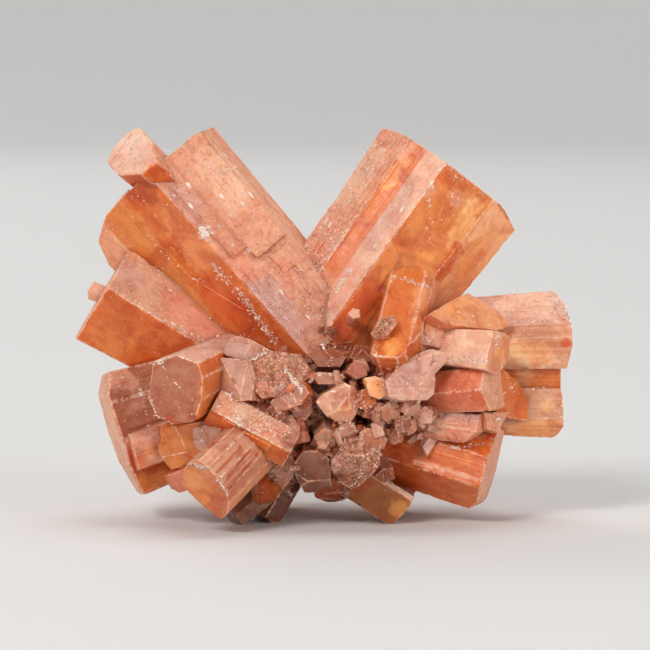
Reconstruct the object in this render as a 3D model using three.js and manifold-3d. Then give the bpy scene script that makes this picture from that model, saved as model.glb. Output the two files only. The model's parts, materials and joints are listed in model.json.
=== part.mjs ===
// Aragonite sputnik cluster: pseudo-hexagonal crystals that grew together from one heart and point
// outwards all round it. Millimetres, +Z up, the front of the cluster faces -Y, and the lowest
// crystal corners, worn flat, rest on z = 0.
import * as THREE from "three";
import { mergeVertices } from "three/addons/utils/BufferGeometryUtils.js";
import Module from "manifold-3d";

// ---------------------------------------------------------------- driving dimensions
const heart = { across: 0, up: 17, back: 1 };
const heartRadius = 9.5;
const sheetPitch = THREE.MathUtils.degToRad(4);
const sheetDistance = 600;
const sheetMiddle = 25.5;
const footTrim = { width: 200, depth: 60 };
const throughDepth = 80;

// Places are read off a front sheet: across and up on the sheet, and back, the distance behind it.
// The sheet is seen from sheetDistance and from sheetPitch above level, so what lies further back is
// drawn smaller and a little higher.
function fromSheet([across, up, back]) {
  const scale = 1 + back / sheetDistance;
  const height = sheetMiddle + (up - sheetMiddle) * scale - back * Math.tan(sheetPitch);
  return new THREE.Vector3(across * scale, back, height);
}

// ---------------------------------------------------------------- crystals
// A column is drawn by its cross section, [across, front] about the axis from root to tip, where
// across runs clockwise from the axis and front faces the sheet. Its crown is the line of its end,
// [across, along] from the tip. waist is the width at the root against the width at the tip.
// A facing crystal is drawn by the outline of its end face on the sheet. rim is the worn edge, and
// turn sets where an outline of corners starts.
const upperLeft = [
  { // the tower: striped side, frosted face, clear face
    root: [-1.7, 21, -1], tip: [-22.6, 44.8, 1.8], waist: 0.9, rim: 0.4,
    section: [[0.3, 7.2], [8.8, 4], [10.3, -4], [5.2, -8], [-4, -7.5], [-6.8, 1.6]],
    crown: [[-8, -0.4], [-4, 0.2], [2, 0], [11, -0.2]],
  },
  { // its rounded left flank
    root: [-1.7, 21, -1], tip: [-23.2, 44.9, 1.8], waist: 0.8, rim: 0.4,
    section: [[-2.6, 4.4], [-8.6, 1.3], [-12, -2], [-10.4, -6.2], [-2.6, -6.8]],
    crown: [[-2, 0], [-7.3, -0.4], [-10.5, -2], [-12.5, -8]],
  },
  { // slab that steps down the frosted face
    root: [-11.1, 31.7, 0.2], tip: [-22.6, 44.8, 1.8], waist: 0.94, rim: 0.15,
    section: [[3.6, 6.5], [8.9, 4.5], [8.9, 0], [3.6, 0]],
  },
  { // thinner slab beside it
    root: [-12.4, 33.3, 0.4], tip: [-22.6, 44.8, 1.8], waist: 0.95, rim: 0.1,
    section: [[1.3, 7.1], [3.8, 6.2], [3.8, 0], [1.3, 0]],
  },
  { // knob behind its tip
    root: [-17.4, 40.6, 4], tip: [-25.2, 47.8, -2], waist: 0.85, rim: 0.5,
    face: [[-28.6, 46.9], [-28.2, 48.8], [-26, 50.8], [-24.1, 51.2], [-22.4, 49.4], [-21.8, 46.9],
      [-24, 45.2], [-26.9, 45]],
  },
];
const left = [
  { // the blade
    root: [-5.8, 14.8, 1], tip: [-29.3, 28.9, 0], waist: 0.72, rim: 0.3,
    section: [[2.2, 5.4], [7.7, 1.5], [6.5, -5.2], [-1.3, -8], [-6.5, -5.2], [-6, 1]],
  },
  { // thin crystal behind it
    root: [-18, 25.4, 2], tip: [-30.5, 30, 5], waist: 0.9, rim: 0.2,
    section: [[0, 1.3], [1.3, 0.2], [0, -1.6], [-1.2, 0]],
  },
];
const lowerLeft = [
  { // the stub
    root: [-5.5, 18.2, 2], tip: [-27.2, 11, -2], waist: 0.78, rim: 0.5,
    section: [[8.5, 2.6], [4.7, 4.9], [-0.5, 5.7], [-8.4, 1.3], [-8.6, -5.2], [0, -8.5], [8, -5.2]],
    crown: [[9, -1.8], [4.7, 0.4], [-0.5, 0.6], [-9, -1]],
  },
  { // box on its end
    root: [-7, 17.6, 0], tip: [-26.2, 11.2, -3.4], waist: 1, rim: 0.2,
    section: [[0.3, 6.4], [-4.4, 6], [-4.9, 1.6], [0.3, 1.6]],
  },
  { // the pentagon
    root: [-11, 21.2, 1], tip: [-19.4, 17, -17], waist: 0.84, rim: 0.3,
    face: [[-22.4, 20.8], [-19.5, 21.6], [-16.5, 20.6], [-15.9, 18.6], [-16.1, 15.7], [-16.9, 12.9],
      [-20, 12.4], [-22, 13.6], [-23.1, 16.2]],
  },
  { // short crystal under the pentagon
    root: [-11, 16, 0], tip: [-18.8, 10, -12], waist: 0.8, rim: 0.2,
    face: [[-21.4, 12.2], [-16.6, 12.4], [-15.4, 9.6], [-17.6, 6.9], [-20.4, 6.4], [-21.8, 9]],
  },
  { // second short crystal
    root: [-8, 16, 0], tip: [-16.2, 10.6, -13.2], waist: 0.8, rim: 0.2,
    face: [[-18.6, 11.6], [-16.2, 12.4], [-14, 11.8], [-13.6, 9.8], [-15.4, 8.9], [-18.2, 9.4]],
  },
  { // low crystal behind the barrel
    root: [-9, 14, 0], tip: [-19.3, 4.6, -8], waist: 0.84, rim: 0.2,
    face: [[-21.4, 5.6], [-17.6, 6.8], [-17.4, 4], [-19.2, 3.4], [-20.6, 3.5]],
  },
  { // the barrel
    root: [-3.2, 16.3, -4], tip: [-15.5, 3.9, -17.5], waist: 0.92, rim: 0.25,
    face: [[-18.6, 5.7], [-18.3, 6.9], [-17.5, 7.8], [-16.4, 7.8], [-15.2, 6.9], [-13.9, 5.3],
      [-12.9, 3.7], [-12.5, 2.2], [-12.8, 0.7], [-13.6, 0], [-15.9, 1.7], [-17.6, 3.4], [-18.5, 4.5]],
  },
];
const front = [
  { // the bar
    root: [-14.7, 14.8, -11.4], tip: [-4.4, 9.2, -11.6], waist: 1, rim: 0.3,
    section: [[-2.7, 2.4], [0, 4], [2.3, 2.2], [2.3, -4.5], [-2.7, -4.5]],
  },
  { // upper glittering plate
    root: [-3.2, 17.8, 0], tip: [-6.2, 19.2, -14], waist: 0.84, rim: 0.25,
    face: [[-8.2, 22.3], [-3.6, 21.8], [-2.3, 20], [-2.7, 18.8], [-4.5, 16.7], [-8.2, 15.9],
      [-10.2, 17.8], [-10.3, 19.7], [-9.1, 21.2]],
  },
  { // lower glittering plate
    root: [-2, 16.3, 0], tip: [-4.8, 16.1, -14.6], waist: 0.84, rim: 0.25,
    face: [[-7.4, 15.4], [-3.2, 18.8], [-2.2, 16.6], [-3.2, 15.1], [-5.2, 14.4], [-6.5, 14]],
  },
  { // grey plate
    root: [-5.8, 19.6, 0], tip: [-10.8, 22.2, -12.6], waist: 0.84, rim: 0.15,
    face: [[-12.6, 23.7], [-11.6, 24.1], [-9.5, 23.6], [-8.2, 22.6], [-9.1, 21.2], [-11.1, 20.4],
      [-13.3, 21.9]],
  },
  { // block beside the pentagon
    root: [-5.8, 17.6, 0], tip: [-12.6, 18.3, -13.4], waist: 0.84, rim: 0.2,
    face: [[-15.9, 19.9], [-13.4, 21.3], [-10, 20.9], [-9.5, 18.6], [-9.8, 15.7], [-12.9, 15.4],
      [-15.6, 14.4]],
  },
  { // inner prism
    root: [0.6, 16.3, 0], tip: [1.7, 15, -13.8], waist: 0.84, rim: 0.25,
    face: [[-1.2, 15.3], [-0.4, 16.3], [2.6, 18], [4, 17.3], [4.8, 15.7], [4.3, 14], [3.1, 12.2],
      [0.4, 13.3]],
  },
  { // bead beside it
    root: [-1.3, 16.3, 0], tip: [-3, 14, -12.2], waist: 0.84, rim: 0.25,
    face: [[-4.5, 13.7], [-3.2, 15.4], [-1.8, 15.7], [-1.6, 14.1], [-2.9, 12.6], [-4.3, 12.1]],
  },
  { // small bench
    root: [0.3, 17.6, 0], tip: [0.4, 18.6, -11.8], waist: 0.9, rim: 0.15,
    face: [[-2, 18.8], [-0.9, 19.4], [2, 19.2], [2.7, 18.7], [1.7, 17.8], [-0.9, 17.8]],
  },
  { // bench above it
    root: [0.1, 19.6, 0], tip: [0.2, 21.1, -10.8], waist: 0.9, rim: 0.15,
    face: [[-2.4, 21.8], [-0.9, 20.1], [2, 20.1], [2.8, 21.4], [1.7, 22.3], [-1.2, 22.5]],
  },
  { // amber crystal
    root: [6, 16.5, 0], tip: [6.9, 17.4, -14.2], waist: 0.9, rim: 0.15,
    face: [[5, 18.6], [6.5, 18.9], [8.4, 18], [8.6, 16.7], [7.1, 15.8], [5.8, 16.3]],
  },
  { // amber crystal at its foot
    root: [5, 16, 0], tip: [5.4, 15.9, -13.2], waist: 0.9, rim: 0.15,
    face: [[4.1, 16.4], [5.3, 17.3], [6.4, 16.7], [6.7, 15.3], [5.3, 14.3], [4.3, 14.8]],
  },
  { // brown hexagon
    root: [6, 12.5, 0], tip: [6.4, 10.5, -12.8], waist: 0.9, rim: 0.15,
    face: [[4.5, 11.4], [5.1, 12.1], [7.2, 11.7], [8.2, 10.5], [7.7, 9.3], [6.5, 9.2], [5, 10]],
  },
  { // lower prism
    root: [2.6, 12.5, 0], tip: [4, 7.3, -12.8], waist: 0.84, rim: 0.25,
    face: [[0.8, 7.6], [2.6, 10.2], [5.2, 10.5], [7.3, 9], [7.2, 7.1], [6, 5.8], [3.8, 3.9],
      [2.5, 4.5], [0.8, 6.2]],
  },
  { // lower brown prism
    root: [-0.6, 12, 0], tip: [-1.6, 6, -10.6], waist: 0.84, rim: 0.25,
    face: [[-3.9, 5.8], [-3.9, 7.6], [-2.9, 9], [-1, 9], [0.6, 7.9], [0.8, 4.3], [-1.4, 3.3],
      [-2.7, 3.1]],
  },
  { // dark crystal underneath
    root: [0.6, 12, 3], tip: [0.7, 3.4, -4], waist: 0.9, rim: 0.2,
    face: [[-1.5, 3.2], [-0.1, 1.7], [0.8, 1.7], [1.8, 2], [2.7, 2.8], [2.6, 4.6], [-0.6, 5]],
  },
];
// Small crystals that crowd the heart: place on the sheet, half width and turn.
const crowdReach = 3.2;
const crowdCorners = [1, 1.15, 0.9, 1.1, 0.95];
const crowdWear = { waist: 1, rim: 0.12 };
const crowd = [
  { place: [9.3, 16.4, -13], half: 1.3, turn: 0.3 },
  { place: [6.2, 14.2, -12.6], half: 1.2, turn: 0.9 },
  { place: [8.8, 14.3, -12.8], half: 1.4, turn: 0.1 },
  { place: [11.4, 14.8, -12.2], half: 1.5, turn: 0.6 },
  { place: [13.2, 13.6, -10.8], half: 1.3, turn: 0.2 },
  { place: [10.4, 12.6, -12], half: 1.4, turn: 1.1 },
  { place: [9.4, 10.8, -11.6], half: 1.2, turn: 0.5 },
  { place: [4.3, 19.6, -12], half: 1.3, turn: 0.4 },
  { place: [3, 11.6, -12.4], half: 1.3, turn: 0.7 },
  { place: [0.2, 10.6, -11.6], half: 1.5, turn: 0.2 },
  { place: [-4.9, 12.7, -12], half: 1.2, turn: 0.8 },
  { place: [-6.4, 14.2, -13], half: 1.3, turn: 0.3 },
  { place: [4.9, 21.7, -9.6], half: 1.5, turn: 0.5 },
  { place: [8, 5.8, -9], half: 1.4, turn: 0.6 },
];
const underneath = [
  { // frosted foot crystal, its end to the lower left
    root: [-4, 8.6, -2.6], tip: [-8.3, 3.4, -9.6], waist: 0.9, rim: 0.2,
    face: [[-9, 4.9], [-10, 4], [-9.7, 2.2], [-8.7, 1.9], [-6.9, 2.2], [-7.2, 3.2], [-8.2, 4.4]],
  },
  { // frosted crystal over it
    root: [-3.4, 11, -1], tip: [-5.6, 6.2, -9.2], waist: 0.84, rim: 0.2,
    face: [[-9, 4.9], [-4.6, 8.7], [-3.7, 7.4], [-4.2, 5.5], [-6.8, 2.2], [-7.8, 3.4]],
  },
  { // left standing foot
    root: [-4.4, 6.6, -1], tip: [-12.1, 0.5, -4.6], waist: 0.9, rim: 0.2,
    section: [[1.8, 0.4], [1.2, -1.8], [-0.6, -2.4], [-1.8, -1.2], [-1.8, 1.2], [0, 2.2]],
  },
  { // middle standing foot
    root: [-2.9, 8.6, 1], tip: [-8.1, 0, -1.6], waist: 0.9, rim: 0.2,
    section: [[2.3, 1.6], [2.3, -1.9], [0, -3.1], [-2.1, -1.9], [-2.1, 1.4], [0, 2.6]],
  },
  { // right standing foot
    root: [1.6, 6.6, -2.6], tip: [10.4, 1.1, -2.9], waist: 0.95, rim: 0.2,
    section: [[2.5, 1.4], [-1.9, 2.6], [-2.5, 2.1], [-2.5, -2], [0.5, -2.8], [2.3, -1.8]],
    crown: [[-3, 0.85], [3, -0.85]],
  },
];
const upperRight = [
  { // the tower: frosted face, amber band, clear faces
    root: [-4, 16.6, -1.3], tip: [16.9, 45.2, 1.5], waist: 0.84, rim: 0.4,
    section: [[-11.2, -0.8], [-7.5, 3.5], [-2, 6.2], [5.8, 4.7], [10.8, -1], [7.8, -6.5],
      [-2.6, -8], [-9.7, -5.8]],
    crown: [[-12, -1.2], [-9.5, -0.2], [-1, 0.6], [5.3, 0.3], [8, -0.2], [11.6, -1.6]],
  },
  { // apron crystal in front of it
    root: [12.3, 33.6, -4], tip: [8.8, 19.7, -13.2], waist: 0.9, rim: 0.4,
    section: [[-3.1, 1.8], [-1, 2.9], [2.3, 2.3], [3.1, 0], [1.3, -3.1], [-2.9, -2.6]],
    crown: [[-3.5, -1], [-1.8, 0.1], [1.8, 0.1], [3.5, -3]],
  },
];
const right = [
  { // upper rail
    root: [5.8, 20.1, 2], tip: [32, 20.4, 2], waist: 0.82, rim: 0.4,
    section: [[-9.7, 0], [-5.6, 3.9], [-3.4, 4.7], [0.2, 4.9], [0.2, -3.9], [-3.9, -6.8], [-9.4, -5.2]],
    crown: [[-10.5, -3], [-7.8, -0.8], [-5.2, -0.1], [-2.9, 0], [1, -1]],
  },
  { // lower rail
    root: [5.8, 20.1, 2], tip: [30.9, 20.4, 2], waist: 0.82, rim: 0.4,
    section: [[2.9, 4], [7.9, 3], [9.7, 0.8], [9.1, -4.5], [5.2, -6.8], [2.6, -5.5]],
    crown: [[2, -0.9], [4, -0.2], [7.9, -0.1], [9, -0.7], [10.4, -2.4]],
  },
  { // web in the groove between the rails
    root: [5.8, 20.1, 2], tip: [30.5, 20.4, 2], waist: 0.82, rim: 0.2,
    section: [[-0.8, 3.6], [3.4, 3.2], [3.4, -3.9], [-0.8, -3.9]],
  },
  { // peach wedge under the tower
    root: [11, 22.2, 2], tip: [18.9, 27.3, -6.4], waist: 0.8, rim: 0.2,
    face: [[13.6, 27], [16, 28.4], [18.6, 29.7], [21.4, 28], [24.3, 25.7], [22.8, 24.8], [18.9, 25.2],
      [15.6, 25.8]],
  },
  { // pale block
    root: [9.2, 23.4, -2], tip: [22.6, 22.2, -10.2], waist: 0.8, rim: 0.3,
    section: [[-2.6, 1.6], [2.3, 3.4], [3.1, 0], [1.3, -3.1], [-2, -2.6]],
  },
  { // pale corner
    root: [9, 22.2, 0], tip: [13.9, 24.3, -9.4], waist: 0.84, rim: 0.2,
    face: [[12.9, 25.3], [13.9, 26.6], [15.7, 25.8], [15.9, 22.5], [13.7, 22.9], [11.8, 23]],
  },
  { // grey-pink face
    root: [6.5, 16.8, 1], tip: [12, 18.8, -13.2], waist: 0.84, rim: 0.25,
    face: [[7.9, 18.2], [9.8, 20.1], [12.1, 21.8], [13.9, 22.5], [15.7, 21.9], [16.2, 20.9],
      [14.6, 19.3], [14.7, 16.7], [13.7, 15.8], [10, 15.7], [8.4, 16.1]],
  },
  { // red block
    root: [8.4, 16, -2], tip: [22, 17, -9.2], waist: 0.85, rim: 0.3,
    section: [[-3.4, 2], [-0.5, 3.6], [2.5, 1.6], [2.6, -2.6], [-2.6, -2.6]],
  },
  { // dark wedge
    root: [13.6, 16.7, 4], tip: [24.3, 16.3, -4.4], waist: 0.84, rim: 0.2,
    face: [[23.3, 20.9], [25.5, 17.5], [26.4, 15.9], [26.4, 13], [24.3, 13.3], [21.7, 14.5],
      [22.6, 16.7], [22.6, 18.9]],
  },
  { // pale tab
    root: [15, 13, 2], tip: [22.4, 12.9, -7.2], waist: 0.84, rim: 0.2,
    face: [[20.7, 14.1], [24.2, 14.1], [23.3, 12.6], [23, 11.3], [21.3, 11.8]],
  },
];
const lowerRight = [
  { // the log
    root: [5.8, 10.8, 0], tip: [21.4, 6.2, -3], waist: 0.88, rim: 0.35,
    section: [[5.3, 0.5], [1.7, 5.7], [-2.4, 5], [-5.8, 1.8], [-5.8, -3.9], [0, -6.5], [4.7, -4.7]],
    crown: [[-7, 0], [3.4, 0.3], [5.6, -1.4]],
  },
];
// The far side, grown from the same heart: each outline is the distance of its corners from the
// axis, in shares of half, the half width.
const stoutCorners = [1, 1.12, 0.94, 1.04, 1.1, 0.96];
const slimCorners = [1, 0.88, 1.08, 0.94, 1.02];
const back = [
  { root: [0, 18, 2], tip: [6.5, 32, 20.5], half: 5.6, turn: 0.2, corners: stoutCorners },
  { root: [-2, 18, 2], tip: [-17, 31, 16.5], half: 6.4, turn: 0.7, corners: stoutCorners },
  { root: [2, 18, 2], tip: [19.5, 21.5, 17.5], half: 6.6, turn: 0.4, corners: stoutCorners },
  { root: [0, 17, 2], tip: [1, 18.5, 23], half: 6, turn: 0.1, corners: stoutCorners },
  { root: [-2, 16, 2], tip: [-18.5, 13.5, 16.5], half: 6, turn: 0.9, corners: stoutCorners },
  { root: [-1, 15, 3], tip: [-8.5, 4.4, 15.5], half: 4.8, turn: 0.5, corners: stoutCorners },
  { root: [2, 15, 3], tip: [9.2, 4, 13.5], half: 4.1, turn: 0, corners: stoutCorners },
  { root: [-1, 19, 2], tip: [-8, 25.5, 20.5], half: 3.5, turn: 0.6, corners: slimCorners },
  { root: [2, 19, 2], tip: [13.5, 28.5, 17], half: 3.4, turn: 0.3, corners: slimCorners },
  { root: [2, 15, 2], tip: [12, 12.6, 19.5], half: 4, turn: 0.8, corners: slimCorners },
  { root: [-1, 15, 2], tip: [-6, 10.5, 20.5], half: 3.8, turn: 0.2, corners: slimCorners },
  { root: [-2, 19, 2], tip: [-21, 21.5, 13], half: 4, turn: 0.5, corners: slimCorners },
  { root: [2, 16, 2], tip: [21.5, 13.2, 12.5], half: 3.8, turn: 0.1, corners: slimCorners },
];
const backWear = { waist: 0.75, rim: 0.35 };
const crowdCrystals = crowd.map(({ place, half, turn }) => {
  const [across, up, depth] = place;
  const reach = crowdReach / Math.abs(depth);
  const root = [across * (1 - reach), up + (heart.up - up) * reach, depth + crowdReach + half];
  return { root, tip: place, half, turn, corners: crowdCorners, ...crowdWear };
});
const backCrystals = back.map((crystal) => ({ ...crystal, ...backWear }));
const crystals = [
  ...upperLeft, ...left, ...lowerLeft, ...front, ...crowdCrystals, ...underneath, ...upperRight,
  ...right, ...lowerRight, ...backCrystals,
];

// ---------------------------------------------------------------- solids
const wasm = await Module();
wasm.setup();

function toSolid(geometry) {
  geometry.deleteAttribute("normal");
  geometry.deleteAttribute("uv");
  const merged = mergeVertices(geometry, 1e-4);
  const vertProperties = merged.attributes.position.array;
  const triVerts = new Uint32Array(merged.index.array);
  return new wasm.Manifold(new wasm.Mesh({ numProp: 3, vertProperties, triVerts }));
}

// The crystal's own frame: front, across and along its axis.
function frameOf(crystal) {
  const root = fromSheet(crystal.root);
  const tip = fromSheet(crystal.tip);
  const axis = tip.clone().sub(root).normalize();
  const facesSheet = Math.abs(axis.y) > 0.55;
  const lead = facesSheet ? new THREE.Vector3(0, 0, 1) : new THREE.Vector3(0, -1, 0);
  const frontward = lead.addScaledVector(axis, -lead.dot(axis)).normalize();
  const across = new THREE.Vector3().crossVectors(axis, frontward);
  return { root, tip, axis, frontward, across, length: tip.distanceTo(root) };
}

// The end face's outline, carried from the sheet onto the end plane.
function faceOnEndPlane(crystal, frame) {
  return crystal.face.map(([across, up]) => {
    let back = frame.tip.y;
    for (let step = 0; step < 8; step++) {
      const off = fromSheet([across, up, back]).sub(frame.tip).dot(frame.axis);
      back -= off / frame.axis.y;
    }
    const offset = fromSheet([across, up, back]).sub(frame.tip);
    return new THREE.Vector2(offset.dot(frame.frontward), offset.dot(frame.across));
  });
}

function cornersAround({ corners, half, turn }) {
  return corners.map((share, i) => {
    const angle = turn + (2 * Math.PI * i) / corners.length;
    return new THREE.Vector2(share * half * Math.cos(angle), share * half * Math.sin(angle));
  });
}

function outlineOf(crystal, frame) {
  if (crystal.face) return faceOnEndPlane(crystal, frame);
  if (crystal.corners) return cornersAround(crystal);
  return crystal.section.map(([across, frontward]) => new THREE.Vector2(frontward, across));
}

function crystalSolid(crystal) {
  const frame = frameOf(crystal);
  const geometry = new THREE.ExtrudeGeometry(new THREE.Shape(outlineOf(crystal, frame)), {
    depth: frame.length - 2 * crystal.rim,
    bevelThickness: crystal.rim,
    bevelSize: crystal.rim,
    bevelOffset: -crystal.rim,
    bevelSegments: 1,
  });
  geometry.translate(0, 0, crystal.rim);
  const position = geometry.attributes.position;
  for (let i = 0; i < position.count; i++) {
    const along = position.getZ(i) / frame.length;
    const width = crystal.waist + (1 - crystal.waist) * along;
    position.setXY(i, position.getX(i) * width, position.getY(i) * width);
  }
  const place = new THREE.Matrix4().makeBasis(frame.frontward, frame.across, frame.axis);
  place.setPosition(frame.root);
  const solid = toSolid(geometry.applyMatrix4(place));
  return crystal.crown ? solid.intersect(underCrown(crystal, frame)) : solid;
}

// What lies under the line of a crown, cut right through the crystal from front to back.
function underCrown(crystal, frame) {
  const line = crystal.crown.map(([across, along]) => new THREE.Vector2(across, frame.length + along));
  const below = [new THREE.Vector2(line.at(-1).x, -1), new THREE.Vector2(line[0].x, -1)];
  const geometry = new THREE.ExtrudeGeometry(new THREE.Shape([...line, ...below]), {
    depth: throughDepth,
    bevelEnabled: false,
  });
  geometry.translate(0, 0, -throughDepth / 2);
  const place = new THREE.Matrix4().makeBasis(frame.across, frame.axis, frame.frontward);
  place.setPosition(frame.root);
  return toSolid(geometry.applyMatrix4(place));
}

function heartSolid() {
  const geometry = new THREE.IcosahedronGeometry(heartRadius, 1);
  const middle = fromSheet([heart.across, heart.up, heart.back]);
  geometry.translate(middle.x, middle.y, middle.z);
  return toSolid(geometry);
}

function floorSolid() {
  const geometry = new THREE.BoxGeometry(footTrim.width, footTrim.width, footTrim.depth);
  geometry.translate(0, 0, -footTrim.depth / 2);
  return toSolid(geometry);
}

// The crystals leave no sealed pocket between them: the outer body is the whole cluster.
function withoutPockets(solid) {
  const bodies = solid.decompose();
  return bodies.reduce((largest, body) => (body.volume() > largest.volume() ? body : largest));
}

const grown = crystals.map(crystalSolid).reduce((sum, solid) => sum.add(solid), heartSolid());
const cluster = withoutPockets(grown.subtract(floorSolid()));

// ---------------------------------------------------------------- scene
function toGeometry(solid) {
  const mesh = solid.getMesh();
  const points = new Float32Array(mesh.numVert * 3);
  for (let i = 0; i < mesh.numVert; i++) {
    points.set(mesh.vertProperties.subarray(i * mesh.numProp, i * mesh.numProp + 3), i * 3);
  }
  const geometry = new THREE.BufferGeometry();
  geometry.setAttribute("position", new THREE.BufferAttribute(points, 3));
  geometry.setIndex(new THREE.BufferAttribute(new Uint32Array(mesh.triVerts), 1));
  geometry.computeVertexNormals();
  return geometry;
}

const aragonite = new THREE.MeshStandardMaterial({ color: 0xc0683a, roughness: 0.45, metalness: 0 });
const clusterGeometry = toGeometry(cluster);
clusterGeometry.computeBoundingBox();
const middle = clusterGeometry.boundingBox.getCenter(new THREE.Vector3());
const clusterMesh = new THREE.Mesh(clusterGeometry, aragonite);
clusterMesh.name = "aragonite_cluster";
clusterMesh.position.set(-middle.x, -middle.y, 0);

const group = new THREE.Group();
group.add(clusterMesh);

export default group;
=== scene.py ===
# %% [markdown]
# # An aragonite sputnik cluster
# Aragonite grows in stout six-sided prisms. In this specimen dozens of them started from one heart
# and pushed outwards all round it, so it looks like an early satellite with thick arms. The lesson
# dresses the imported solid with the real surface: faces with ribs along the grain, worn and chipped
# edges, frosted and clear skins, small crystals that crowd the heart, and powder in the creases.
# It starts from the fixed frame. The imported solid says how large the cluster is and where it
# rests.

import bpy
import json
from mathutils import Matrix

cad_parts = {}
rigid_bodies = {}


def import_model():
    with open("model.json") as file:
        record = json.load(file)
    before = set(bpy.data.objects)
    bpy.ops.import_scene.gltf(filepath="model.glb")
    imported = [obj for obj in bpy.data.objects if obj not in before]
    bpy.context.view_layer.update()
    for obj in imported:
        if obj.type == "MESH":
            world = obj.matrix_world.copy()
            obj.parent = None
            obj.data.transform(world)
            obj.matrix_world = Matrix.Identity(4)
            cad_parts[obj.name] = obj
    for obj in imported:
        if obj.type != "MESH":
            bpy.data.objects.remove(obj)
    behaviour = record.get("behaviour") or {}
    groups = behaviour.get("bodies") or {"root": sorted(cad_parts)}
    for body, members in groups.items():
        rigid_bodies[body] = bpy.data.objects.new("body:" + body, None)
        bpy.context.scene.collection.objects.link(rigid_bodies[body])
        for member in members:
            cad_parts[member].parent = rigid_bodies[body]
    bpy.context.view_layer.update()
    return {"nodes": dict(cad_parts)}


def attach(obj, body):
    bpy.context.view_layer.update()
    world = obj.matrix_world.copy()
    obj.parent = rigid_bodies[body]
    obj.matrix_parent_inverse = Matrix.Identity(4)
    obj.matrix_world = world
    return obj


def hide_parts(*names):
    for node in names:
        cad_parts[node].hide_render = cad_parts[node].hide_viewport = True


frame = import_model()

# %% Import what the lesson uses
import json
import math
import random
from types import SimpleNamespace

import bmesh
import bpy
import numpy as np
from mathutils import Matrix, Vector, kdtree, noise

# %% [markdown]
# ## The sheet
# Every crystal is placed on a front sheet, in millimetres: across, up, and back, which is the
# distance behind the sheet. The sheet is seen from 600 mm away and from 4 degrees above level, so
# a thing that lies further back is drawn smaller and a little higher. The same rule places the
# camera, which is why a crystal drawn on the sheet is seen where it was drawn.

# %% Sheet to part
MM = 0.001
SHEET_PITCH = math.radians(4)
SHEET_DISTANCE = 600.0
SHEET_MIDDLE = 25.5
SHEET_ORIGIN = Vector((0.29, -1.69, 0.0))


def sheet_line(across, up):
    """The line of sight through a place on the sheet: a point and the step for 1 mm back."""
    start = Vector((across, 0, up)) + SHEET_ORIGIN
    step = Vector((across / SHEET_DISTANCE, 1,
                   (up - SHEET_MIDDLE) / SHEET_DISTANCE - math.tan(SHEET_PITCH)))
    return start, step


def from_sheet(place):
    """The point of the part, in millimetres, for (across, up, back) on the sheet."""
    start, step = sheet_line(place[0], place[1])
    return start + step * place[2]


def on_plane(across, up, point, normal):
    """Where the line of sight through a place on the sheet meets a plane."""
    start, step = sheet_line(across, up)
    return start + step * (normal.dot(point - start) / normal.dot(step))


HEART = from_sheet((0, 17, 1))
HEART_RADIUS = 9.5
print("the heart lies at", HEART)

# %% [markdown]
# ## Camera
# A long lens from 600 mm away flattens the cluster as a product shot does. The picture takes in
# 84.5 mm across the sheet, so the lens length follows from the sensor's width.

# %% Put things into the scene
def add_object(name, data):
    """A new object in the scene."""
    made = bpy.data.objects.new(name, data)
    bpy.context.scene.collection.objects.link(made)
    return made


def mesh_of(name, bm):
    """A mesh from a bmesh, which is freed."""
    mesh = bpy.data.meshes.new(name)
    bm.to_mesh(mesh)
    bm.free()
    return mesh


# %% Set the camera
PICTURE_WIDTH = 84.5
SENSOR = 36.0
CLIP_START, CLIP_END = 0.01, 10
eye_distance = SHEET_DISTANCE / math.cos(SHEET_PITCH)
target = Vector((0, 0, SHEET_MIDDLE)) + SHEET_ORIGIN
view_direction = Vector((0, math.cos(SHEET_PITCH), -math.sin(SHEET_PITCH)))

camera_data = bpy.data.cameras.new("camera")
camera_data.sensor_width = SENSOR
camera_data.lens = SENSOR * eye_distance / PICTURE_WIDTH
camera_data.clip_start, camera_data.clip_end = CLIP_START, CLIP_END
camera = add_object("camera", camera_data)
camera.location = (target - view_direction * eye_distance) * MM
camera.rotation_euler = view_direction.to_track_quat("-Z", "Y").to_euler()
bpy.context.scene.camera = camera
print("lens", round(camera_data.lens, 1), "mm at", round(eye_distance), "mm")

# %% [markdown]
# ## Skins
# A crystal face is clear and deep orange where it broke cleanly, or frosted pink where fine growth
# steps scatter the light. Each skin here names a colour, how frosted it is, how rough its relief
# is, and how plainly bands run along the grain. The crystals below name one skin for each side, in
# the order of their outlines. The last skins are only brushed on, as clouds inside clear faces and
# as films on frosted ones.

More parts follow.
